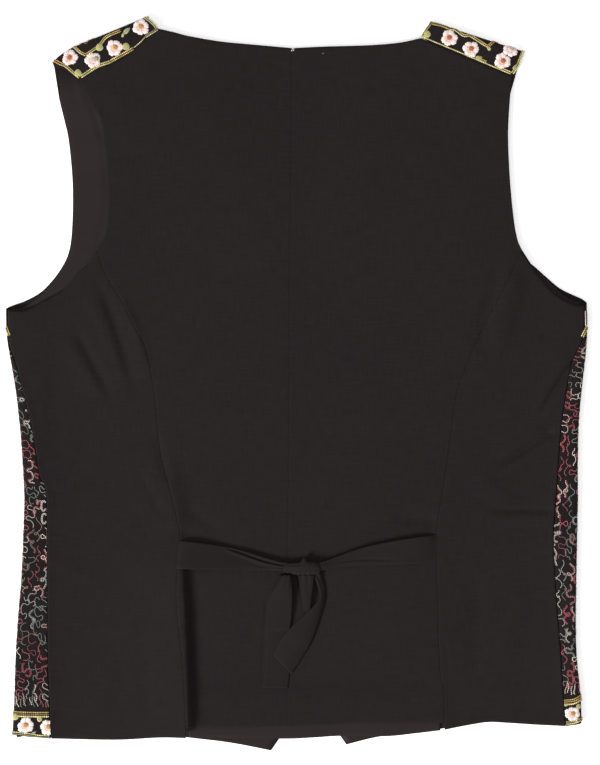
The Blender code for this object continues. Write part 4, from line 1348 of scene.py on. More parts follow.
@dataclass
class WaistTie:
    """The tie across the back, and the hanging bow that it is tied in."""

    form: VestForm
    finishes: Finishes
    wall: float = 1.0
    fine_wall: float = 0.5
    steepest: float = 0.07
    left: tuple[TieSection, ...] = (
        TieSection((-93.4, -123.6), (-96.2, -145.6), -1.6, 0.0),
        TieSection((-91.8, -123.7), (-94.4, -145.7), -0.1, 0.0, 0.2),
        TieSection((-89.0, -123.9), (-91.0, -145.8), 0.5, 0.1, 0.6),
        TieSection((-84.0, -124.4), (-85.0, -146.0), 0.7, 0.2, 1.2),
        TieSection((-74.0, -125.6), (-74.0, -146.4), 0.5, 0.3, 1.5),
        TieSection((-60.0, -127.9), (-60.0, -146.7), 0.4, 0.4, 1.5),
        TieSection((-40.0, -132.4), (-40.0, -147.0), 0.4, 0.6, 1.5),
        TieSection((-22.0, -138.0), (-22.0, -147.2), 1.0, 0.9, 1.3),
        TieSection((-13.0, -140.4), (-13.0, -147.4), 2.0, 0.9, 0.7),
        TieSection((-5.0, -141.2), (-5.0, -147.6), 2.8, 0.9, 0.4),
    )
    right: tuple[TieSection, ...] = (
        TieSection((112.8, -118.0), (113.2, -140.2), -1.7, 0.0),
        TieSection((109.4, -118.6), (109.8, -140.7), -1.2, 0.0, 0.2),
        TieSection((104.0, -119.6), (104.2, -141.2), -0.3, 0.2, 1.4),
        TieSection((94.0, -121.0), (94.0, -141.9), 0.3, 0.4, 2.9),
        TieSection((76.0, -123.8), (76.0, -142.6), 0.5, 0.6, 2.6),
        TieSection((52.0, -128.8), (52.0, -143.5), 0.5, 0.9, 2.2),
        TieSection((32.0, -135.8), (32.0, -144.8), 1.2, 1.2, 1.6),
        TieSection((21.0, -139.8), (21.0, -146.6), 2.6, 1.2, 0.8),
        TieSection((14.0, -141.0), (14.0, -147.4), 3.4, 1.2, 0.3),
    )
    tail_left: tuple[TieSection, ...] = (
        TieSection((-14.6, -150.4), (-4.0, -150.4), 0.3, 0.1),
        TieSection((-21.0, -161.0), (-5.2, -161.0), 0.2, 0.1),
        TieSection((-24.4, -177.0), (-5.4, -177.0), 0.1, 0.1),
        TieSection((-24.6, -203.0), (-5.4, -203.0), 0.1, 0.2),
        TieSection((-25.6, -227.0), (-6.2, -227.0), 0.1, 0.2),
        TieSection((-28.0, -239.6), (-7.6, -240.4), 0.1, 0.1),
    )
    tail_right: tuple[TieSection, ...] = (
        TieSection((11.0, -149.0), (17.4, -149.0), 3.6, 0.2),
        TieSection((13.6, -153.4), (20.0, -153.4), 3.0, 0.2),
        TieSection((16.2, -161.0), (22.7, -161.0), 2.4, 0.3),
        TieSection((17.2, -168.6), (21.8, -172.0), 2.9, 0.3),
        TieSection((10.0, -177.6), (18.4, -182.6), 4.1, 0.4),
        TieSection((-4.3, -191.0), (11.0, -203.0), 4.2, 0.5),
        TieSection((-13.8, -202.2), (3.6, -216.3), 3.0, 0.4),
        TieSection((-18.4, -212.6), (-3.8, -226.8), 1.8, 0.3),
        TieSection((-18.6, -214.6), (-5.2, -229.0), 1.6, 0.2),
    )
    loop_left: tuple[LoopSection, ...] = (
        LoopSection(-150.6, -12.6, -5.2, 2.2), LoopSection(-164.0, -18.8, -5.0, 1.9),
        LoopSection(-182.0, -22.6, -5.0, 1.1), LoopSection(-191.4, -23.6, -6.0, 1.0),
        LoopSection(-194.6, -23.8, -6.4, 1.35), LoopSection(-191.8, -23.8, -6.0, 1.7),
        LoopSection(-182.0, -23.2, -4.8, 2.5), LoopSection(-170.0, -22.2, -4.4, 3.9),
        LoopSection(-160.0, -17.4, -4.6, 5.4), LoopSection(-150.6, -11.0, -5.6, 5.8),
    )
    loop_right: tuple[LoopSection, ...] = (
        LoopSection(-150.4, 0.6, 13.0, 0.9), LoopSection(-163.0, 2.6, 11.2, 0.6),
        LoopSection(-172.0, 3.8, 10.4, 0.4), LoopSection(-177.6, 4.6, 9.8, 0.6),
        LoopSection(-179.6, 4.8, 9.6, 1.8), LoopSection(-177.4, 4.6, 9.8, 3.1),
        LoopSection(-169.0, 3.4, 10.8, 4.0), LoopSection(-150.4, 0.6, 13.0, 5.0),
    )
    knot_centre: tuple[float, float, float] = (4.0, -145.2, 8.3)
    knot_sections: tuple[tuple[float, float, float], ...] = (
        (-15.4, 2.0, 0.9), (-13.6, 3.6, 1.8), (-10.0, 4.9, 2.6), (-4.0, 5.4, 3.1), (2.0, 5.7, 3.4),
        (7.0, 5.7, 3.4), (10.8, 5.3, 3.1), (13.2, 4.2, 2.4), (14.6, 2.2, 1.2),
    )
    knot_squareness: float = 0.9
    columns: int = 26

    def strip(self, name: str, node: str, sections: tuple[TieSection, ...], rows: int,
              pleats: Callable[[Array, Array], Array], wall: float) -> None:
        """Builds a flat stretch of the tie.

        Smooth curves run through the sections; each section is raised by its lift, by its bulge times
        1 - (2s - 1)^2 and by its lean times (1 - s)^3, with s from its first edge to its second. It
        spans the hollows beside a roll of the back: along its run it never sinks faster than the
        steepest slope.

        Args:
            name: the piece's name.
            node: the solid that it stands for.
            sections: its sections, from its start.
            rows: its number of rows.
            pleats: the height of its fine folds, from the place along it and across it.
            wall: the thickness of its cloth.
        """
        share = edged_rows(np.array([20.0]), self.columns)[0]
        table = np.array([[*s.first, *s.second, s.lift, s.bulge, s.lean] for s in sections])
        middle = 0.5 * (table[:, :2] + table[:, 2:4])
        path = spline(np.concatenate([table, middle], axis=1), even(rows))
        first, second = path[:, None, :2], path[:, None, 2:4]
        across = share[None, :, None]
        plan = first * (1.0 - across) + second * across
        s = share[None, :]
        lift = path[:, 4:5] + path[:, 5:6] * (1.0 - (2.0 * s - 1.0) ** 2) + path[:, 6:7] * (1.0 - s) ** 3
        lift = lift + pleats(even(rows)[:, None], s)
        width = np.linalg.norm(second - first, axis=-1)
        lift = lift - edge_turn(width * s, 0.3, 0.6) - edge_turn(width * (1.0 - s), 0.3, 0.6)
        under = self.form.top_height(plan[..., 0], plan[..., 1])
        slope = self.steepest * run_length(plan, 0)
        under = np.maximum.accumulate(under + slope, axis=0) - slope
        height = under + lift + wall + SEAM_GAP
        points = np.concatenate([plan, height[..., None]], axis=-1)
        ClothPiece(name, node, points, plan, self.finishes.tie, Slot.TIE, wall,
                   rests_on=("back_centre_left", "back_centre_right")).build()

    def loop(self, name: str, node: str, sections: tuple[LoopSection, ...], puff: float) -> None:
        """Builds a bow loop: out on the lower layer, round the end and back on the upper one.

        Args:
            name: the piece's name.
            node: the solid that it stands for.
            sections: its sections along its run.
            puff: how far the middle of its upper layer stands up.
        """
        table = np.array([[s.y, s.first_x, s.second_x, s.height + self.form.flat_top] for s in sections])
        path = spline(table[:, [0, 3, 1, 2]], even(64))
        y, z, first, second = (path[:, i][:, None] for i in range(4))
        share = edged_rows(np.array([14.0]), 18)[0][None, :]
        x = first * (1.0 - share) + second * share
        upper = smooth((z - z.min()) / np.ptp(z))
        bulge = puff * upper * (1.0 - (2.0 * share - 1.0) ** 2)
        gather = np.exp((y - y.max()) / 7.0)
        ripple = 0.35 * gather * upper * np.cos(share * 5.0 * math.pi)
        points = np.stack([x, np.broadcast_to(y, x.shape), z + bulge + ripple], axis=-1)
        run = run_length(path[:, [0, 1]], 0)[:, None]
        pattern = np.stack([x, np.broadcast_to(run, x.shape)], axis=-1)
        ClothPiece(name, node, points, pattern, self.finishes.tie, Slot.TIE, self.fine_wall, upward=False,
                   rests_on=("tie_tail_left", "back_centre_left"), held="folded").build()

    def knot(self) -> None:
        """Builds the knot: superellipse sections along X, with the wrapped tie's ridges round it.

        The radii run smoothly through the sections. The tie's last wrap is a slanted band that stands
        12% above the rest, with fine pleats along it and a peak at its upper end. Gathers of 5% run
        beside it.
        """
        rings, sides = 44, 56
        table = spline(self.knot_sections, even(rings))
        turn = whole_turn(sides)[None, :]
        x = table[:, :1]
        place = even(rings)[:, None]
        power = self.knot_squareness
        y = np.sign(np.cos(turn)) * np.abs(np.cos(turn)) ** power * table[:, 1:2]
        z = np.sign(np.sin(turn)) * np.abs(np.sin(turn)) ** power * table[:, 2:3]
        from_band = x - 3.2 - 0.55 * y
        band = bell(from_band, 7.6, 4)
        pleats = 0.04 * np.cos(1.7 * from_band) * band + 0.05 * np.cos(9.0 * turn) * (1.0 - band)
        scale = 0.90 + 0.12 * band + pleats
        peak = 3.0 * bell(x - 1.4, 1.9) * smooth((np.cos(turn) - 0.3) / 0.6)
        y, z = y * scale + peak, np.minimum(z * scale, 3.45)
        points = np.stack([np.broadcast_to(x, y.shape), y, z], axis=-1) + np.array(self.knot_centre)
        faces = quads_of(rings, sides, closed=True)[:, ::-1].tolist()
        faces.append(list(range(sides)))
        faces.append(list(range(rings * sides - 1, (rings - 1) * sides - 1, -1)))
        made = new_object("knot_cloth", points, faces, self.finishes.tie)
        lay_cut(made.data, points[..., :2])
        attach(made, "root")
        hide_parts("bow_knot")
        LOG.info("knot_cloth: %d faces", len(faces))

    def build(self) -> None:
        """Builds the two ties, the bow and its knot."""

        def left_pleats(run: Array, across: Array) -> Array:
            """A dark pleat that leaves the upper edge and runs down to the knot."""
            line = 0.02 + 0.34 * smooth((run - 0.36) / 0.55)
            pleat = -1.5 * bell(across - line, 0.05) * smooth((run - 0.38) / 0.15)
            below = 0.5 * bell(across - line - 0.13, 0.07) * smooth((run - 0.38) / 0.15)
            return pleat + below + 0.4 * smooth((run - 0.6) / 0.4) * np.cos(across * 15.0)

        def right_pleats(run: Array, across: Array) -> Array:
            """Soft folds that spread out from the knot."""
            line = 0.78 - 0.3 * smooth((run - 0.3) / 0.7)
            pleat = -0.8 * bell(across - line, 0.07) * smooth((run - 0.25) / 0.3)
            return pleat + 0.4 * smooth((run - 0.6) / 0.4) * np.cos(across * 13.0)

        def tail_pleats(run: Array, across: Array) -> Array:
            """Short gathers under the knot."""
            return 0.25 * bell(run, 0.18) * np.cos(across * 14.0)

        def crossing_pleats(run: Array, across: Array) -> Array:
            """The outer edge, which drops beside the loop and the other tail, and a fold near the knot."""
            drop = -2.9 * across**2 * smooth((run + 0.02) / 0.12) * smooth((1.04 - run) / 0.3)
            return drop - 0.5 * bell(across - 0.5, 0.1) * smooth((0.3 - run) / 0.3)

        self.strip("tie_cloth_left", "tie_left", self.left, 110, left_pleats, self.wall)
        self.strip("tie_cloth_right", "tie_right", self.right, 110, right_pleats, self.wall)
        self.strip("tail_cloth_left", "tie_tail_left", self.tail_left, 66, tail_pleats, self.fine_wall)
        self.strip("tail_cloth_right", "tie_tail_right", self.tail_right, 76, crossing_pleats,
                   self.fine_wall)
        self.loop("loop_cloth_left", "bow_loop_left", self.loop_left, 0.8)
        self.loop("loop_cloth_right", "bow_loop_right", self.loop_right, 0.5)
        self.knot()


@dataclass(frozen=True)
class ThreadColours:
    """The colours of the threads and cords."""

    rose: Colour = (0.340, 0.060, 0.078)
    wine: Colour = (0.225, 0.034, 0.048)
    sage: Colour = (0.150, 0.180, 0.145)
    grey: Colour = (0.31, 0.29, 0.265)
    cream: Colour = (0.62, 0.53, 0.46)
    khaki: Colour = (0.26, 0.215, 0.145)
    gold: Colour = (0.47, 0.33, 0.10)
    orange_gold: Colour = (0.52, 0.27, 0.085)
    pale_gold: Colour = (0.62, 0.55, 0.25)
    olive: Colour = (0.22, 0.165, 0.065)
    petal: Colour = (0.84, 0.70, 0.66)
    white_petal: Colour = (0.86, 0.77, 0.74)
    heart: Colour = (0.55, 0.17, 0.05)
    gold_heart: Colour = (0.68, 0.36, 0.08)
    bud: Colour = (0.52, 0.48, 0.18)
    leaf: Colour = (0.42, 0.42, 0.25)


@dataclass(frozen=True)
class BackFace:
    """The upper face of the back, for stitches that show on it."""

    form: VestForm

    def frame_at(self, plan: Array) -> tuple[Array, Array]:
        """Gives points of the back, and upright normals."""
        here = self.form.raised(plan)
        return here, np.broadcast_to(np.array([0.0, 0.0, 1.0]), here.shape)


@dataclass
class Needlework:
    """Thread, cord and satin stitch, laid on the face of one front or of the back."""

    face: FrontFace | BackFace
    parts: MeshParts = field(default_factory=MeshParts)

    def tubes(self, patterns: Array, widths: Array, heights: Array, colours: Array, sides: int = 5) -> None:
        """Lays threads on the cloth.

        Each thread is a tube whose section is an ellipse: its points are the path, plus half its width
        times the cosine of the angle sideways, plus half its height times 1 + the sine of the angle
        along the normal. Its ends are closed.

        Args:
            patterns: the paths on the flat pattern, threads by samples by 2.
            widths: the width at each sample.
            heights: the height at each sample.
            colours: one colour for each thread.
            sides: the number of sides of the tube.
        """
        here, normal = self.face.frame_at(patterns)
        tangent = np.gradient(here, axis=1)
        tangent = tangent / np.maximum(np.linalg.norm(tangent, axis=-1, keepdims=True), 1e-9)
        sideways = np.cross(tangent, normal)
        turn = whole_turn(sides)
        out = 0.5 * widths[..., None, None] * np.cos(turn)[:, None] * sideways[..., None, :]
        up = 0.5 * heights[..., None, None] * (1.0 + np.sin(turn))[:, None] - 0.12
        points = here[..., None, :] + out + up * normal[..., None, :]
        run = np.concatenate([np.zeros_like(here[:, :1, 0]), np.cumsum(
            np.linalg.norm(np.diff(here, axis=1), axis=-1), axis=1)], axis=1)
        threads, samples = run.shape
        quads = quads_of(samples, sides, closed=True)
        low = np.arange(sides)
        caps = [low[::-1].tolist(), (low + (samples - 1) * sides).tolist()]
        faces = [*quads.tolist(), *caps]
        spin = np.broadcast_to(np.stack([np.cos(turn), np.sin(turn)], axis=-1), (samples, sides, 2))
        for thread in range(threads):
            values = np.concatenate([np.broadcast_to(run[thread][:, None, None], (samples, sides, 1)),
                                     spin], axis=-1)
            self.parts.add(points[thread].reshape(-1, 3), faces, colours[thread], values.reshape(-1, 3))

    def cord(self, seen: Sequence[Point], colour: Colour, width: float, on_shoulder: bool,
             past: tuple[float, float] = (0.0, 0.0), aside: float = 0.0) -> None:
        """Lays a twisted cord through points as they are seen on top.

        Args:
            seen: the points that it runs through.
            colour: its colour.
            width: its width.
            on_shoulder: whether it lies at the shoulder fold.
            past: how far it runs on past its first and last points, round the fold.
            aside: how far it lies to the left of those points.
        """
        count = max(8, int(length_of(seen) / 0.3))
        curve = spline(seen, even(count))
        if aside:
            curve = shifted(curve, aside)
        unrolled = self.face.unroll_shoulder(curve) if on_shoulder else self.face.unroll_side(curve)[0]
        pieces = [unrolled]
        for far, at_start in ((past[0], True), (past[1], False)):
            if far > 0:
                end, back = (unrolled[0], unrolled[2]) if at_start else (unrolled[-1], unrolled[-3])
                step = (end - back) / np.linalg.norm(end - back)
                more = end + step * np.linspace(0.3, far, max(2, int(far / 0.3)))[:, None]
                pieces = [more[::-1], *pieces] if at_start else [*pieces, more]
        path = np.vstack(pieces)
        run = run_length(path, 0)
        twist = 1.0 + 0.24 * np.sin(2.0 * math.pi * run / 1.5)
        fade = np.sqrt(np.clip(np.minimum(run, run[-1] - run) / 0.8, 0.08, 1.0))
        sizes = (width * twist * fade)[None]
        self.tubes(path[None], sizes, 0.8 * sizes, np.array([colour]), sides=8)

    def mound(self, centre: Point, local: Array, lift: Array, colour: Array | Colour,
              on_shoulder: bool) -> None:
        """Lays a raised patch of satin stitch, closed underneath.

        Args:
            centre: its centre as seen on top.
            local: its points round the centre as seen on top, rings by angles by 2.
            lift: the height of each of them.
            colour: its colour, or one for each point.
            on_shoulder: whether it lies at the shoulder fold.
        """
        plan = np.array(centre, float)[None]
        start = self.face.unroll_shoulder(plan) if on_shoulder else self.face.unroll_side(plan)[0]
        pattern = start + self.face.seen_offset(local, on_shoulder)
        if not on_shoulder:
            pattern = self.face.kept_off_seam(pattern, 0.2)
        points = self.face.lifted(pattern, lift)
        rings, angles = lift.shape
        quads = quads_of(rings, angles, closed=True)
        under = np.arange(angles) + (rings - 1) * angles
        turn = whole_turn(angles)
        radius = np.linalg.norm(local, axis=-1)
        run = np.stack([radius, np.broadcast_to(np.cos(turn), lift.shape),
                        np.broadcast_to(np.sin(turn), lift.shape)], axis=-1)
        faces = [*quads[:, ::-1].tolist(), under[::-1].tolist(), np.arange(angles).tolist()]
        a, b, c = (points.reshape(-1, 3)[faces[angles * (rings // 2)][i]] for i in range(3))
        _, normal = self.face.frame_at(pattern[rings // 2])
        if np.dot(np.cross(b - a, c - a), normal[0]) < 0:
            faces = [face[::-1] for face in faces]
        colours = np.broadcast_to(colour, (*lift.shape, 3)).reshape(-1, 3)
        self.parts.add(points.reshape(-1, 3), faces, colours, run.reshape(-1, 3))

    def flower(self, centre: Point, radius: float, petals: int, turn: float, colour: Colour,
               heart: Colour, on_shoulder: bool, heart_at: Point = (0.0, 0.0)) -> None:
        """Works a flower: scalloped petals round a heart of small knots.

        The outline is radius times (0.76 + 0.17 |cos(petals x angle / 2)|^0.6 + 0.08 |cos(9 x angle)|),
        a little uneven. The height is 0.85 mm times 1 - r^8, lower along the gaps between petals, round
        the heart and between the two rounds of stitches.

        Args:
            centre: its centre as seen on top.
            radius: its outer radius.
            petals: the number of petals.
            turn: its turn in radians.
            colour: the colour of its petals.
            heart: the colour of its heart.
            on_shoulder: whether it lies at the shoulder fold.
            heart_at: where its heart lies from the centre.
        """
        angles = 108
        phi = whole_turn(angles)[None, :]
        ring = np.array([0.02, 0.18, 0.30, 0.37, 0.44, 0.52, 0.62, 0.72, 0.82, 0.91, 0.97, 1.0])[:, None]
        gap = np.abs(np.cos(0.5 * petals * (phi - turn) + 0.3 * np.sin(phi + 3.0 * turn)))
        small = np.abs(np.cos(9.0 * phi + turn + 0.4 * np.sin(2.0 * phi)))
        outline = radius * (0.76 + 0.17 * gap**0.6 + 0.08 * small**0.7)
        outline = outline * (1.0 + 0.06 * np.cos(phi + 2.0 * turn) + 0.07 * np.cos(3.0 * phi + 5.0 * turn))
        r = ring * outline
        local = np.stack([r * np.cos(phi), r * np.sin(phi)], axis=-1)
        inner = bell(ring - 0.41, 0.06)
        step = bell(ring - 0.67, 0.05)
        speck = 0.5 + 0.5 * np.cos((2 * petals + 3) * phi + 2.0 * turn)
        lift = 0.95 * (1.0 - ring**8) * (0.6 + 0.3 * gap**0.5 + 0.1 * small)
        lift = lift - 0.35 * inner - 0.12 * step * (1.0 - speck)
        lift[-1] = -0.15
        # The tone is partly painted light: darker along the gaps between petals and in the grooves round the
        # heart and between the two rounds, lighter on the petal and scallop crowns, just where the height
        # dips and rises, so painted shade and painted highlight. The pink specks of the inner round are the
        # silk's own colour.
        tone = 0.70 + 0.22 * gap**0.4 + 0.12 * small**0.5 * (ring > 0.5)
        tone = tone - 0.50 * inner * speck - 0.26 * step * (1.0 - speck)
        tone = np.clip(tone, 0.3, 1.04)[..., None]
        shade = np.array(colour) * tone**np.array([0.7, 1.3, 1.3])
        self.mound(centre, local, lift, shade, on_shoulder)
        self.heart(np.add(centre, heart_at), 0.30 * radius, heart, on_shoulder)

    def heart(self, centre: Array, radius: float, colour: Colour, on_shoulder: bool) -> None:
        """Works a flower's heart: a low dome with the lumps of small knots."""
        phi = whole_turn(30)[None, :]
        ring = np.array([0.03, 0.3, 0.55, 0.78, 0.94, 1.0])[:, None]
        r = radius * ring * (1.0 + 0.08 * np.cos(5.0 * phi))
        local = np.stack([r * np.cos(phi), r * np.sin(phi)], axis=-1)
        lumps = np.cos(5.0 * phi + 9.0 * ring) * np.sin(math.pi * ring)
        lift = 0.9 + 0.7 * np.sqrt(np.clip(1.0 - ring**2, 0.0, 1.0)) + 0.14 * lumps
        lift[-1] = 0.3
        # The tone follows the knots' lumps: painted highlight on the raised lumps and painted shade between
        # them.
        tone = np.clip(0.85 + 0.25 * lumps, 0.5, 1.15)[..., None]
        self.mound((float(centre[0]), float(centre[1])), local, lift, np.array(colour) * tone, on_shoulder)

    def bud(self, centre: Point, radius: float, colour: Colour, on_shoulder: bool) -> None:
        """Works a coiled bud: a dome whose ridges follow a spiral from its middle."""
        phi = whole_turn(40)[None, :]
        ring = np.array([0.03, 0.15, 0.28, 0.40, 0.52, 0.64, 0.76, 0.87, 0.95, 1.0])[:, None]
        r = radius * ring * (1.0 + 0.05 * np.cos(3.0 * phi + 1.0))
        local = np.stack([r * np.cos(phi), r * np.sin(phi)], axis=-1)
        coil = np.cos(2.0 * math.pi * 2.4 * ring - phi)
        lift = 1.15 * np.sqrt(np.clip(1.02 - ring**2, 0.0, 1.0)) + 0.16 * coil
        lift[-1] = -0.15
        # The tone follows the coil: painted highlight on its ridges and painted shade in its grooves.
        tone = np.clip(0.84 + 0.18 * coil, 0.5, 1.1)[..., None]
        self.mound(centre, local, lift, np.array(colour) * tone, on_shoulder)

    def leaf(self, centre: Point, length: float, width: float, heading: float, colour: Colour,
             on_shoulder: bool) -> None:
        """Works a leaf: an outline length x width that narrows to one end, with a vein along it."""
        phi = whole_turn(48)[None, :]
        ring = np.array([0.03, 0.25, 0.5, 0.72, 0.88, 0.97, 1.0])[:, None]
        x = 0.5 * length * ring * np.cos(phi)
        narrow = 1.0 - 0.45 * np.cos(phi)
        y = 0.5 * width * ring * np.sin(phi) * narrow
        c, s = math.cos(heading), math.sin(heading)
        local = np.stack([c * x - s * y, s * x + c * y], axis=-1)
        vein = bell(y, 0.12 * width)
        lift = 0.85 * (1.0 - ring**4) - 0.3 * vein * (1.0 - ring)
        lift[-1] = -0.15
        stitches = 0.08 * np.cos(x * 7.0 + np.abs(y) * 5.0)
        # Darker along the vein, where the leaf dips: painted shade. The stitch marks are the silk's own
        # pattern.
        tone = np.clip(0.92 - 0.35 * vein + stitches, 0.4, 1.1)[..., None]
        self.mound(centre, local, lift, np.array(colour) * tone, on_shoulder)

    def finish(self, name: str, material: bpy.types.Material, slot: Slot = Slot.FRONT) -> None:
        """Makes one piece of what was worked, riding on the vest."""
        made = self.parts.build(name, material)
        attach(made, "root")
        LOG.info("%s: %d faces", name, len(made.data.polygons))


@dataclass(frozen=True)
class StitchZone:
    """The share of each thread colour in a stretch of a side strip, down to a y.

    Near is for the threads next to the fold and far for those next to the seam, each as weights of
    rose, wine, sage, grey, cream and khaki.
    """

    bottom: float
    near: tuple[float, ...]
    far: tuple[float, ...]


@dataclass
class SideStitching:
    """The winding chain stitch of a side strip, from the flower band up to the underarm."""

    face: FrontFace
    finishes: Finishes
    zones: tuple[StitchZone, ...]
    bottom: float
    top: float
    seed: int
    lane: float = 5.2
    lanes: int = 9
    first_lane: float = 2.0
    first_gap: Point = (5.0, 9.0)
    rises: Point = (9.0, 20.0)
    gaps: Point = (0.5, 3.5)
    samples: int = 112
    thread: float = 0.68
    pitch: float = 1.6
    lowest: float = 2.6
    doubled: float = 0.30
    fan: int = 18
    paleness: float = 1.0
    near_reach: float = 13.0
    near_spread: float = 8.0
    balance: tuple[float, ...] = (1.35, 1.7, 0.85, 1.0, 1.15, 1.05)
    tones: Point = (0.6, 1.1)
    colours: ThreadColours = ThreadColours()

    def runs(self, draw: np.random.Generator) -> Array:
        """Divides the strip into lanes beside the seam, and each lane into uneven runs.

        Args:
            draw: the seeded random numbers.

        Returns:
            For each run its lane's distance from the seam, its lowest y and its rise.
        """
        found = []
        for index in range(self.lanes):
            middle = self.first_lane + self.lane * index
            y = self.bottom + draw.uniform(*self.first_gap)
            while y < self.top:
                rise = draw.uniform(*self.rises)
                centre = y + 0.5 * rise
                room = float(self.face.seam_extra(np.array(min(centre, self.top)))) - middle
                if centre < self.top and room > self.lowest:
                    found.append((middle + draw.uniform(-0.8, 0.8), y, min(rise, self.top + 4.0 - y)))
                y += rise + draw.uniform(*self.gaps)
        return np.array(found)

    def winding(self, runs: Array, draw: np.random.Generator) -> Array:
        """Winds a thread up each run.

        The heading swings to either side of straight up by a sine with one wave to about 9 mm of rise
        and a smaller one of twice as many waves, as a river's does. On some threads it also makes one
        whole turn in the middle, which gives a ring. The line is the running sum of the headings,
        levelled into its lane and scaled to its run.

        Args:
            runs: the runs.
            draw: the seeded random numbers.

        Returns:
            The distance from the seam and the y of each sample, threads by samples by 2.
        """
        count = len(runs)
        t = even(self.samples)[None, :]
        lane, low, rise = (runs[:, i:i + 1] for i in range(3))
        waves = np.maximum(rise / draw.uniform(7.0, 11.0, (count, 1)), 0.8)
        swing = draw.uniform(1.45, 2.0, (count, 1))
        small = draw.uniform(0.15, 0.5, (count, 1))
        phases = draw.uniform(0.0, 2.0 * math.pi, (2, count, 1))
        ring = draw.choice([0.0, 0.0, 0.0, 1.0, -1.0], (count, 1))
        start = draw.uniform(0.25, 0.5, (count, 1))
        wave = 2.0 * math.pi * waves * t
        heading = swing * np.sin(wave + phases[0]) + small * np.sin(2.0 * wave + phases[1])
        heading = heading * (1.0 - 0.5 * np.abs(ring)) + 2.0 * math.pi * ring * smooth((t - start) / 0.24)
        u, v = np.cumsum(np.sin(heading), axis=1), np.cumsum(np.cos(heading), axis=1)
        u = u - u[:, -1:] * t
        size = rise / np.maximum(np.ptp(v, axis=1)[:, None], 1e-6)
        u = (u - 0.5 * (u.max(axis=1) + u.min(axis=1))[:, None]) * size
        wide = np.ptp(u, axis=1)[:, None]
        u = u * np.minimum(1.0, (self.lane + 1.2) / np.maximum(wide, 1e-6))
        v = (v - v.min(axis=1)[:, None]) * size
        return np.stack([lane + u, low + v], axis=-1)

    def fan_lines(self, draw: np.random.Generator) -> Array:
        """Lays the short lines that spread upward from the flower band, with a slight wave."""
        t = even(self.samples)[None, :]
        lane = np.linspace(0.8, 38.0, self.fan)[:, None] + draw.uniform(-0.9, 0.9, (self.fan, 1))
        lean = draw.uniform(-0.45, 0.45, (self.fan, 1))
        rise = draw.uniform(5.0, 11.0, (self.fan, 1))
        wave = 0.5 * np.sin(2.0 * math.pi * (t + draw.uniform(0.0, 1.0, (self.fan, 1))))
        y = self.bottom + draw.uniform(0.2, 3.0, (self.fan, 1)) + rise * t
        return np.stack([lane + lean * rise * t + wave, y], axis=-1)

    def pick(self, paths: Array, draw: np.random.Generator) -> Array:
        """Picks each thread's colour, from its zone's weights and its nearness to the fold."""
        palette = np.array([self.colours.rose, self.colours.wine, self.colours.sage,
                            self.colours.grey, self.colours.cream, self.colours.khaki])
        u, y = paths[..., 0].mean(axis=1), paths[..., 1].mean(axis=1)
        near = smooth((self.near_reach - (self.face.seam_extra(y) - u)) / self.near_spread)[:, None]
        bottoms = np.array([zone.bottom for zone in self.zones])
        zone = np.clip((bottoms[None, :] > y[:, None]).sum(axis=1), 0, len(self.zones) - 1)
        far_weights = np.array([z.far for z in self.zones])[zone]
        near_weights = np.array([z.near for z in self.zones])[zone]
        weights = far_weights * (1.0 - near) + near_weights * near
        weights = weights * np.array(self.balance)
        ladder = np.cumsum(weights, axis=1) / weights.sum(axis=1, keepdims=True)
        chosen = (draw.random((len(paths), 1)) > ladder).sum(axis=1).clip(0, len(palette) - 1)
        return palette[chosen] * self.paleness * draw.uniform(*self.tones, (len(paths), 1))

    def build(self) -> None:
        """Works the strip's threads as chain stitches.

        Some runs are doubled by a second thread 0.8 mm beside them. A stitch swells the thread: its
        width is the thread's times 0.48 + 0.62 |sin| over a pitch. Where a thread would pass the seam
        or the underside it narrows away.
        """
        draw = np.random.default_rng(self.seed)
        paths = self.winding(self.runs(draw), draw)
        doubled = paths[draw.random(len(paths)) < self.doubled]
        heading = np.gradient(doubled, axis=1)
        heading = heading / np.maximum(np.linalg.norm(heading, axis=-1, keepdims=True), 1e-9)
        beside = doubled + 0.8 * np.stack([-heading[..., 1], heading[..., 0]], axis=-1)
        paths = np.concatenate([paths, beside, self.fan_lines(draw)])
        u, y = paths[..., 0], np.clip(paths[..., 1], self.bottom, self.top + 6.0)
        room = self.face.seam_extra(y)
        extra = np.clip(room - u, self.lowest, room - 0.35)
        shown = smooth((u - 0.1) / 0.5) * smooth((room - u - self.lowest + 0.3) / 0.6)
        pattern = np.stack([self.face.wrap_start(y) + self.face.side.value * extra, y], axis=-1)
        run = run_length(pattern, 1)
        swell = 0.48 + 0.62 * np.abs(np.sin(math.pi * run / self.pitch))
        ends = np.clip(np.minimum(run, run[:, -1:] - run) / 0.7, 0.1, 1.0)
        width = np.maximum(self.thread * swell * np.sqrt(ends) * shown, 0.04)
        work = Needlework(self.face)
        work.tubes(pattern, width, 0.62 * width, self.pick(paths, draw))
        work.finish(f"chain_stitching_{self.face.side.name.lower()}", self.finishes.thread)


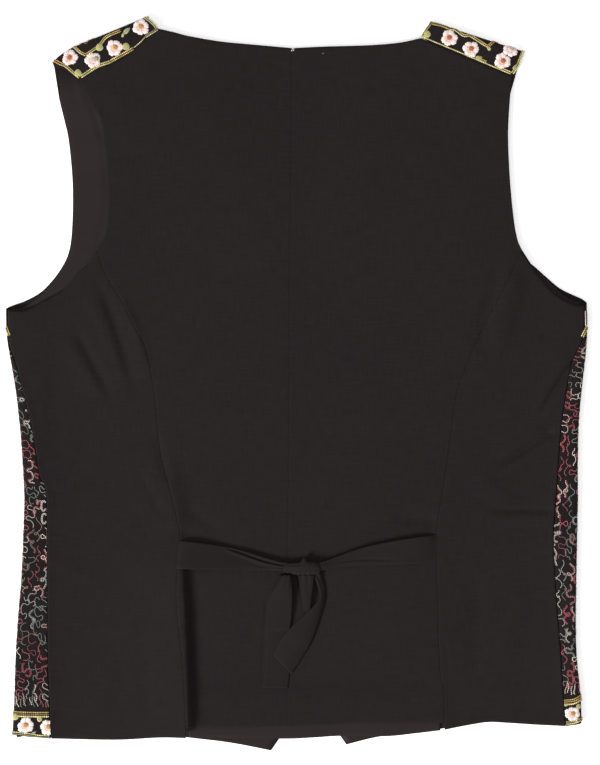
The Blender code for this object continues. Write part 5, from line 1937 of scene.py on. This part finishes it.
@dataclass
class FlowerBands:
    """The satin-stitched flowers and gilt cords of one side: at the shoulder, the hem and underarm."""

    face: FrontFace
    finishes: Finishes
    colours: ThreadColours = ThreadColours()

    def left_silk(self, work: Needlework) -> None:
        """Works the left side's flowers, buds and leaves."""
        c = self.colours
        for centre, turn in (((-123.9, 282.4), 0.4), ((-144.3, 266.1), 1.1), ((-180.5, 258.5), 0.1)):
            heart = c.gold_heart if centre[0] > -150 else c.heart
            work.flower(centre, 6.7, 6, turn, c.petal, heart, True)
        work.flower((-161.6, 256.2), 6.6, 5, 0.7, c.petal, c.leaf, True, heart_at=(2.6, 1.2))
        for centre, radius in (((-173.4, 245.9), 2.9), ((-135.4, 266.8), 2.9), ((-156.4, 266.1), 3.0)):
            work.bud(centre, radius, c.bud, True)
        work.leaf((-134.6, 279.4), 6.6, 3.4, 0.75, c.leaf, True)
        work.leaf((-137.6, 276.4), 5.0, 1.9, 1.2, c.pale_gold, True)
        work.flower((-214.9, -269.2), 6.6, 7, 0.3, c.white_petal, c.gold_heart, False)
        work.flower((-196.9, -270.6), 6.4, 6, 1.0, c.white_petal, c.gold_heart, False)
        work.bud((-222.9, -262.9), 2.6, c.bud, False)
        work.leaf((-204.0, -264.2), 5.4, 3.6, 2.3, c.pale_gold, False)
        work.leaf((-208.0, -275.2), 4.4, 2.2, 0.6, c.leaf, False)

    def right_silk(self, work: Needlework) -> None:
        """Works the right side's flowers, buds and leaves."""
        c = self.colours
        for centre, turn in (((119.7, 273.7), 0.2), ((137.1, 265.0), 0.9), ((162.3, 255.4), 1.4)):
            work.flower(centre, 6.7, 6, turn, c.petal, c.heart, True)
        work.flower((168.2, 264.8), 6.0, 6, 0.5, c.petal, c.petal, True)
        work.bud((102.4, 276.6), 2.9, c.bud, True)
        work.leaf((143.4, 257.9), 5.8, 3.4, 0.2, c.bud, True)
        work.leaf((151.0, 265.6), 4.6, 2.6, 2.2, c.pale_gold, True)
        work.leaf((171.8, 250.6), 5.0, 2.6, 1.1, c.bud, True)
        work.flower((217.2, -260.2), 6.2, 7, 0.8, c.white_petal, c.gold_heart, False)
        work.bud((222.2, -254.4), 2.0, c.bud, False)
        work.leaf((212.4, -253.0), 4.2, 2.4, 0.1, c.pale_gold, False)

    @staticmethod
    def pair(work: Needlework, line: Sequence[Point], first: Colour, second: Colour, width: float,
             on_shoulder: bool, past: tuple[float, float] = (0.0, 0.0)) -> None:
        """Lays two cords side by side along a line."""
        for colour, aside in ((first, 0.62 * width), (second, -0.62 * width)):
            work.cord(line, colour, 0.9 * width, on_shoulder, past, aside)

    def left_gilt(self, work: Needlework) -> None:
        """Lays the left side's cords: seam, neck and armhole edges, the inner corner and the hem."""
        c = self.colours
        self.pair(work, [(-118.6, 288.6), (-113.4, 284.4), (-111.0, 280.6)], c.pale_gold, c.leaf, 1.1,
                  True, (4.5, 0.0))
        self.pair(work, [(-110.6, 280.4), (-115.4, 277.6), (-120.0, 274.6)], c.pale_gold, c.khaki, 1.0, True)
        work.cord([(-120.0, 274.6), (-124.0, 270.4), (-129.4, 265.8)], c.pale_gold, 0.9, True)
        self.pair(work, [(-129.6, 265.4), (-137.6, 260.8), (-147.4, 255.4)], c.gold, c.pale_gold, 1.3, True)
        self.pair(work, [(-147.0, 255.2), (-158.4, 251.0), (-171.4, 242.8)], c.pale_gold, c.bud, 1.25, True)
        self.pair(work, [(-192.4, 258.6), (-188.4, 255.8)], c.orange_gold, c.orange_gold, 1.15, True,
                  (3.5, 0.0))
        self.pair(work, [(-188.6, 256.0), (-184.0, 252.6), (-177.4, 246.6), (-172.2, 242.4)],
                  c.gold, c.pale_gold, 1.1, True)
        self.pair(work, [(-176.6, 267.0), (-172.4, 263.0), (-167.0, 259.9)], c.gold, c.pale_gold, 1.1,
                  True, (4.5, 0.0))
        self.pair(work, [(-167.2, 260.2), (-157.0, 267.4), (-151.8, 273.6), (-146.4, 276.8)],
                  c.gold, c.pale_gold, 1.1, True)
        self.pair(work, [(-146.6, 276.6), (-142.2, 278.4)], c.orange_gold, c.gold, 1.1, True, (0.0, 3.0))
        work.cord([(-172.0, 268.4), (-169.6, 270.6), (-167.4, 269.0), (-165.2, 271.0), (-166.2, 273.0),
                   (-163.6, 273.6), (-160.4, 274.4)], c.rose, 0.7, True)
        self.pair(work, [(-224.6, -259.2), (-213.0, -259.7), (-204.6, -259.9), (-196.2, -259.9)],
                  c.gold, c.olive, 1.2, False, (3.6, 0.0))
        work.cord([(-225.0, -261.8), (-213.0, -262.2), (-204.0, -262.4), (-196.2, -262.4)],
                  c.pale_gold, 1.5, False, (3.6, 0.0))
        self.pair(work, [(-225.0, -275.2), (-213.0, -276.4), (-204.0, -277.9), (-195.4, -278.2)],
                  c.pale_gold, c.khaki, 1.2, False, (3.6, 0.0))
        self.pair(work, [(-229.4, 43.4), (-227.6, 38.4)], c.gold, c.pale_gold, 1.2, False, (3.0, 0.0))

    def right_gilt(self, work: Needlework) -> None:
        """Lays the right side's cords: seam, neck and armhole edges, the inner corner and the hem."""
        c = self.colours
        self.pair(work, [(105.4, 285.0), (101.6, 280.0), (98.8, 275.0)], c.gold, c.khaki, 0.9, True,
                  (3.5, 0.0))
        work.cord([(98.6, 274.6), (112.0, 269.0), (127.0, 262.8), (141.0, 256.8), (155.0, 250.9),
                   (168.4, 245.2)], c.pale_gold, 1.05, True)
        self.pair(work, [(97.6, 275.0), (103.6, 273.2)], c.bud, c.pale_gold, 1.0, True)
        self.pair(work, [(142.0, 257.6), (149.6, 254.6)], c.gold, c.pale_gold, 1.0, True)
        self.pair(work, [(156.0, 251.6), (169.0, 245.8)], c.pale_gold, c.gold, 1.1, True)
        self.pair(work, [(169.8, 245.6), (174.0, 252.2), (177.6, 261.4)], c.gold, c.pale_gold, 1.15,
                  True, (0.0, 4.5))
        self.pair(work, [(106.4, 285.2), (113.4, 283.6), (120.2, 281.0)], c.pale_gold, c.gold, 1.2, True)
        self.pair(work, [(120.2, 281.0), (124.4, 280.2), (131.4, 275.6), (136.4, 275.4), (143.0, 271.4),
                         (150.4, 266.8)], c.gold, c.pale_gold, 1.1, True)
        self.pair(work, [(150.4, 266.8), (155.4, 271.0)], c.gold, c.orange_gold, 1.1, True, (0.0, 4.5))
        self.pair(work, [(223.6, -246.6), (218.0, -249.4), (210.4, -250.2)], c.orange_gold, c.gold,
                  1.2, False, (3.6, 0.0))
        work.cord([(223.6, -249.4), (218.0, -252.2), (210.6, -252.8)], c.pale_gold, 1.5, False, (3.6, 0.0))
        self.pair(work, [(223.6, -264.8), (218.0, -266.8), (211.9, -267.5)], c.pale_gold, c.gold, 1.35,
                  False, (3.6, 0.0))
        self.pair(work, [(228.0, 44.0), (224.8, 37.2)], c.gold, c.pale_gold, 1.2, False, (3.0, 0.0))
        self.pair(work, [(227.8, 58.0), (228.0, 52.0), (228.0, 46.0)], c.rose, c.petal, 0.9, False)

    def build(self) -> None:
        """Works the silk and the cords of the side."""
        silk, gilt = Needlework(self.face), Needlework(self.face)
        if self.face.side is Side.LEFT:
            self.left_silk(silk)
            self.left_gilt(gilt)
        else:
            self.right_silk(silk)
            self.right_gilt(gilt)
        word = self.face.side.name.lower()
        silk.finish(f"silk_flowers_{word}", self.finishes.silk)
        gilt.finish(f"gilt_cords_{word}", self.finishes.gilt)


@dataclass
class NeckTacks:
    """The short thread ends left at the neck edge, next to the centre-back seam."""

    form: VestForm
    finishes: Finishes
    colours: ThreadColours = ThreadColours()

    def build(self) -> None:
        """Works three short stitches and a fainter one further along."""
        work = Needlework(BackFace(self.form))
        ends = (((-4.6, 265.0), (-2.4, 265.4)), ((-3.8, 263.4), (-2.6, 264.6)),
                ((-4.9, 263.0), (-4.5, 264.4)), ((19.4, 261.4), (21.2, 261.9)))
        paths = np.array([along(pair, even(9)) for pair in ends])
        sizes = np.array([0.75, 0.6, 0.5, 0.4])[:, None] * np.sin(math.pi * np.linspace(0.12, 0.88, 9)) ** 0.5
        tints = np.array([self.colours.white_petal] * 3 + [self.colours.grey])
        work.tubes(paths, sizes, 0.7 * sizes, tints)
        work.finish("neck_tacks", self.finishes.thread, Slot.BACK)


@dataclass
class Studio:
    """The pale surface, the soft lights and the camera straight above."""

    frame_centre: Point = (1.975, 1.3825)
    frame_height: float = 604.35
    lens: float = 180.0
    sensor: float = 36.0
    cloth_level: float = 5.0
    floor_size: float = 8000.0
    floor_z: float = -0.15

    def build(self) -> None:
        """Builds the floor, the lights, the sky and the camera."""
        half = 0.5 * self.floor_size
        corners = np.array([[-half, -half], [half, -half], [half, half], [-half, half]])
        points = np.concatenate([corners, np.full((4, 1), self.floor_z)], axis=1)
        floor = new_object("floor", points, [[0, 1, 2, 3]], FloorFinish().build())
        self.light("key", (-3.65, -3.0, 3.05), 1.65, 500.0, (1.0, 0.99, 0.97))
        self.light("top", (0.3, 0.2, 3.8), 2.6, 48.0, (1.0, 1.0, 1.0))
        self.sky(0.42)
        self.camera()
        bpy.context.scene.view_settings.view_transform = "Standard"

    def light(self, name: str, place: tuple[float, float, float], size: float, power: float,
              colour: Colour) -> None:
        """Adds a square soft light that looks at the vest, in metres and watts."""
        lamp = bpy.data.lights.new(name, "AREA")
        lamp.energy = power
        lamp.size = size
        lamp.color = colour
        made = bpy.data.objects.new(name, lamp)
        made.location = place
        away = np.array(place) / np.linalg.norm(place)
        made.rotation_euler = (math.acos(away[2]), 0.0, math.atan2(away[0], -away[1]))
        bpy.context.scene.collection.objects.link(made)

    def sky(self, strength: float) -> None:
        """Sets an even pale light from all round."""
        world = bpy.data.worlds.new("studio")
        world.use_nodes = True
        shade = world.node_tree.nodes["Background"]
        shade.inputs["Color"].default_value = (0.98, 0.99, 1.0, 1.0)
        shade.inputs["Strength"].default_value = strength
        bpy.context.scene.world = world

    def camera(self) -> None:
        """Adds the camera, looking straight down at the height that frames the vest."""
        data = bpy.data.cameras.new("camera")
        data.lens = self.lens
        data.sensor_width = self.sensor
        data.clip_end = 100.0
        made = bpy.data.objects.new("camera", data)
        away = self.frame_height * self.lens / self.sensor
        made.location = (self.frame_centre[0] * MM, self.frame_centre[1] * MM,
                         (away + self.cloth_level) * MM)
        bpy.context.scene.collection.objects.link(made)
        bpy.context.scene.camera = made


LEFT_ZONES = (
    StitchZone(20.0, (3, 2, 0.5, 0.5, 2, 0.5), (1, 0, 1, 1, 3, 0)),
    StitchZone(-8.0, (4, 3, 1, 1, 1, 0), (0.5, 0, 2, 1, 3, 0)),
    StitchZone(-32.0, (2, 2, 3, 2, 1, 0), (0, 0, 3, 2, 2, 0)),
    StitchZone(-78.0, (6, 4, 0.5, 0, 0.5, 0), (3, 1, 1, 0.5, 2, 0)),
    StitchZone(-132.0, (2, 2, 3, 2, 1, 1), (1, 0, 2, 1, 3, 0.5)),
    StitchZone(-166.0, (1, 1, 3, 3, 1, 1), (2, 0, 2, 2, 2, 1)),
    StitchZone(-202.0, (6, 3, 0.5, 0.5, 0, 0), (2, 0, 2, 1, 2, 0)),
    StitchZone(-232.0, (4, 3, 2, 1, 0.5, 0), (4, 1, 2, 0.5, 1.5, 0)),
    StitchZone(-300.0, (3, 3, 2, 1, 2, 0.5), (4, 1, 1.5, 1, 2.5, 0.5)),
)
RIGHT_ZONES = (
    StitchZone(24.0, (1, 0.5, 0.5, 2, 4, 0.5), (1, 0, 1, 2, 3, 0)),
    StitchZone(4.0, (5, 2, 1, 1, 1, 0), (2, 0, 1, 3, 2, 0)),
    StitchZone(-12.0, (2, 1, 3, 2, 3, 0), (1, 0, 3, 2, 2, 0)),
    StitchZone(-60.0, (4, 2, 0.5, 2, 1, 0), (7, 3, 0.3, 0.5, 1, 0)),
    StitchZone(-80.0, (2, 1, 3, 2, 1, 0), (5, 2, 1, 1, 1, 0)),
    StitchZone(-104.0, (5, 3, 0.5, 0.5, 1, 0), (4, 1, 1, 1, 3, 0)),
    StitchZone(-130.0, (3, 3, 3, 1, 0.5, 0), (2, 0, 4, 2, 2, 0)),
    StitchZone(-160.0, (8, 4, 0.3, 0, 0.3, 0), (3, 1, 2, 1, 2, 0)),
    StitchZone(-196.0, (7, 3, 0.3, 0.2, 1, 0), (2, 0, 1, 1, 3, 0)),
    StitchZone(-214.0, (3, 2, 2, 1, 2, 0), (1, 0, 3, 2, 3, 0)),
    StitchZone(-300.0, (6, 3, 0.5, 0.5, 1, 0), (2, 0, 1, 1, 4, 0)),
)
FRONT_HEM_LEFT = ((-225, -277), (-180, -278.8), (-109, -278), (-73, -281), (-49, -284.2), (-21, -289.7))
FRONT_HEM_RIGHT = (
    (224, -267.6), (214, -269.4), (206, -269.4), (188, -268), (152, -266), (114, -272.5), (70, -278),
    (57, -280.3), (38.6, -285),
)
FRONT_ARMHOLE_LEFT = (
    (-226, 62), (-213.7, 66.6), (-201, 74.5), (-188, 90), (-180.5, 106), (-178, 130), (-178, 161),
    (-181, 193), (-184.5, 209), (-188.4, 225),
)
FRONT_ARMHOLE_RIGHT = (
    (224.8, 67.6), (208.4, 75.3), (197.7, 84), (188.8, 92), (180, 100), (174.2, 112.6), (169.8, 130),
    (166.5, 161), (165.2, 193), (167, 225),
)
FRONT_NECK_LEFT = ((10, 50), (-28, 110), (-72, 190), (-106, 258))
FRONT_NECK_RIGHT = ((10, 50), (46, 110), (80, 190), (100, 258))


def main() -> None:
    """Builds the vest's looks piece by piece, then the studio round it."""
    logging.basicConfig(level=logging.INFO, format="%(message)s")
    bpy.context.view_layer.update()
    form = VestForm()
    finishes = Finishes()
    BackPanels(form, finishes).build()
    FrontShell(form, finishes, Side.LEFT, FRONT_HEM_LEFT, FRONT_ARMHOLE_LEFT, FRONT_NECK_LEFT).build()
    FrontShell(form, finishes, Side.RIGHT, FRONT_HEM_RIGHT, FRONT_ARMHOLE_RIGHT, FRONT_NECK_RIGHT).build()
    WaistTie(form, finishes).build()
    left, right = FrontFace(form, Side.LEFT), FrontFace(form, Side.RIGHT)
    SideStitching(left, finishes, LEFT_ZONES, bottom=-256.0, top=34.0, seed=11).build()
    SideStitching(right, finishes, RIGHT_ZONES, bottom=-246.0, top=34.0, seed=23, paleness=1.15).build()
    FlowerBands(left, finishes).build()
    FlowerBands(right, finishes).build()
    NeckTacks(form, finishes).build()
    Studio().build()


if __name__ == "__main__":
    main()
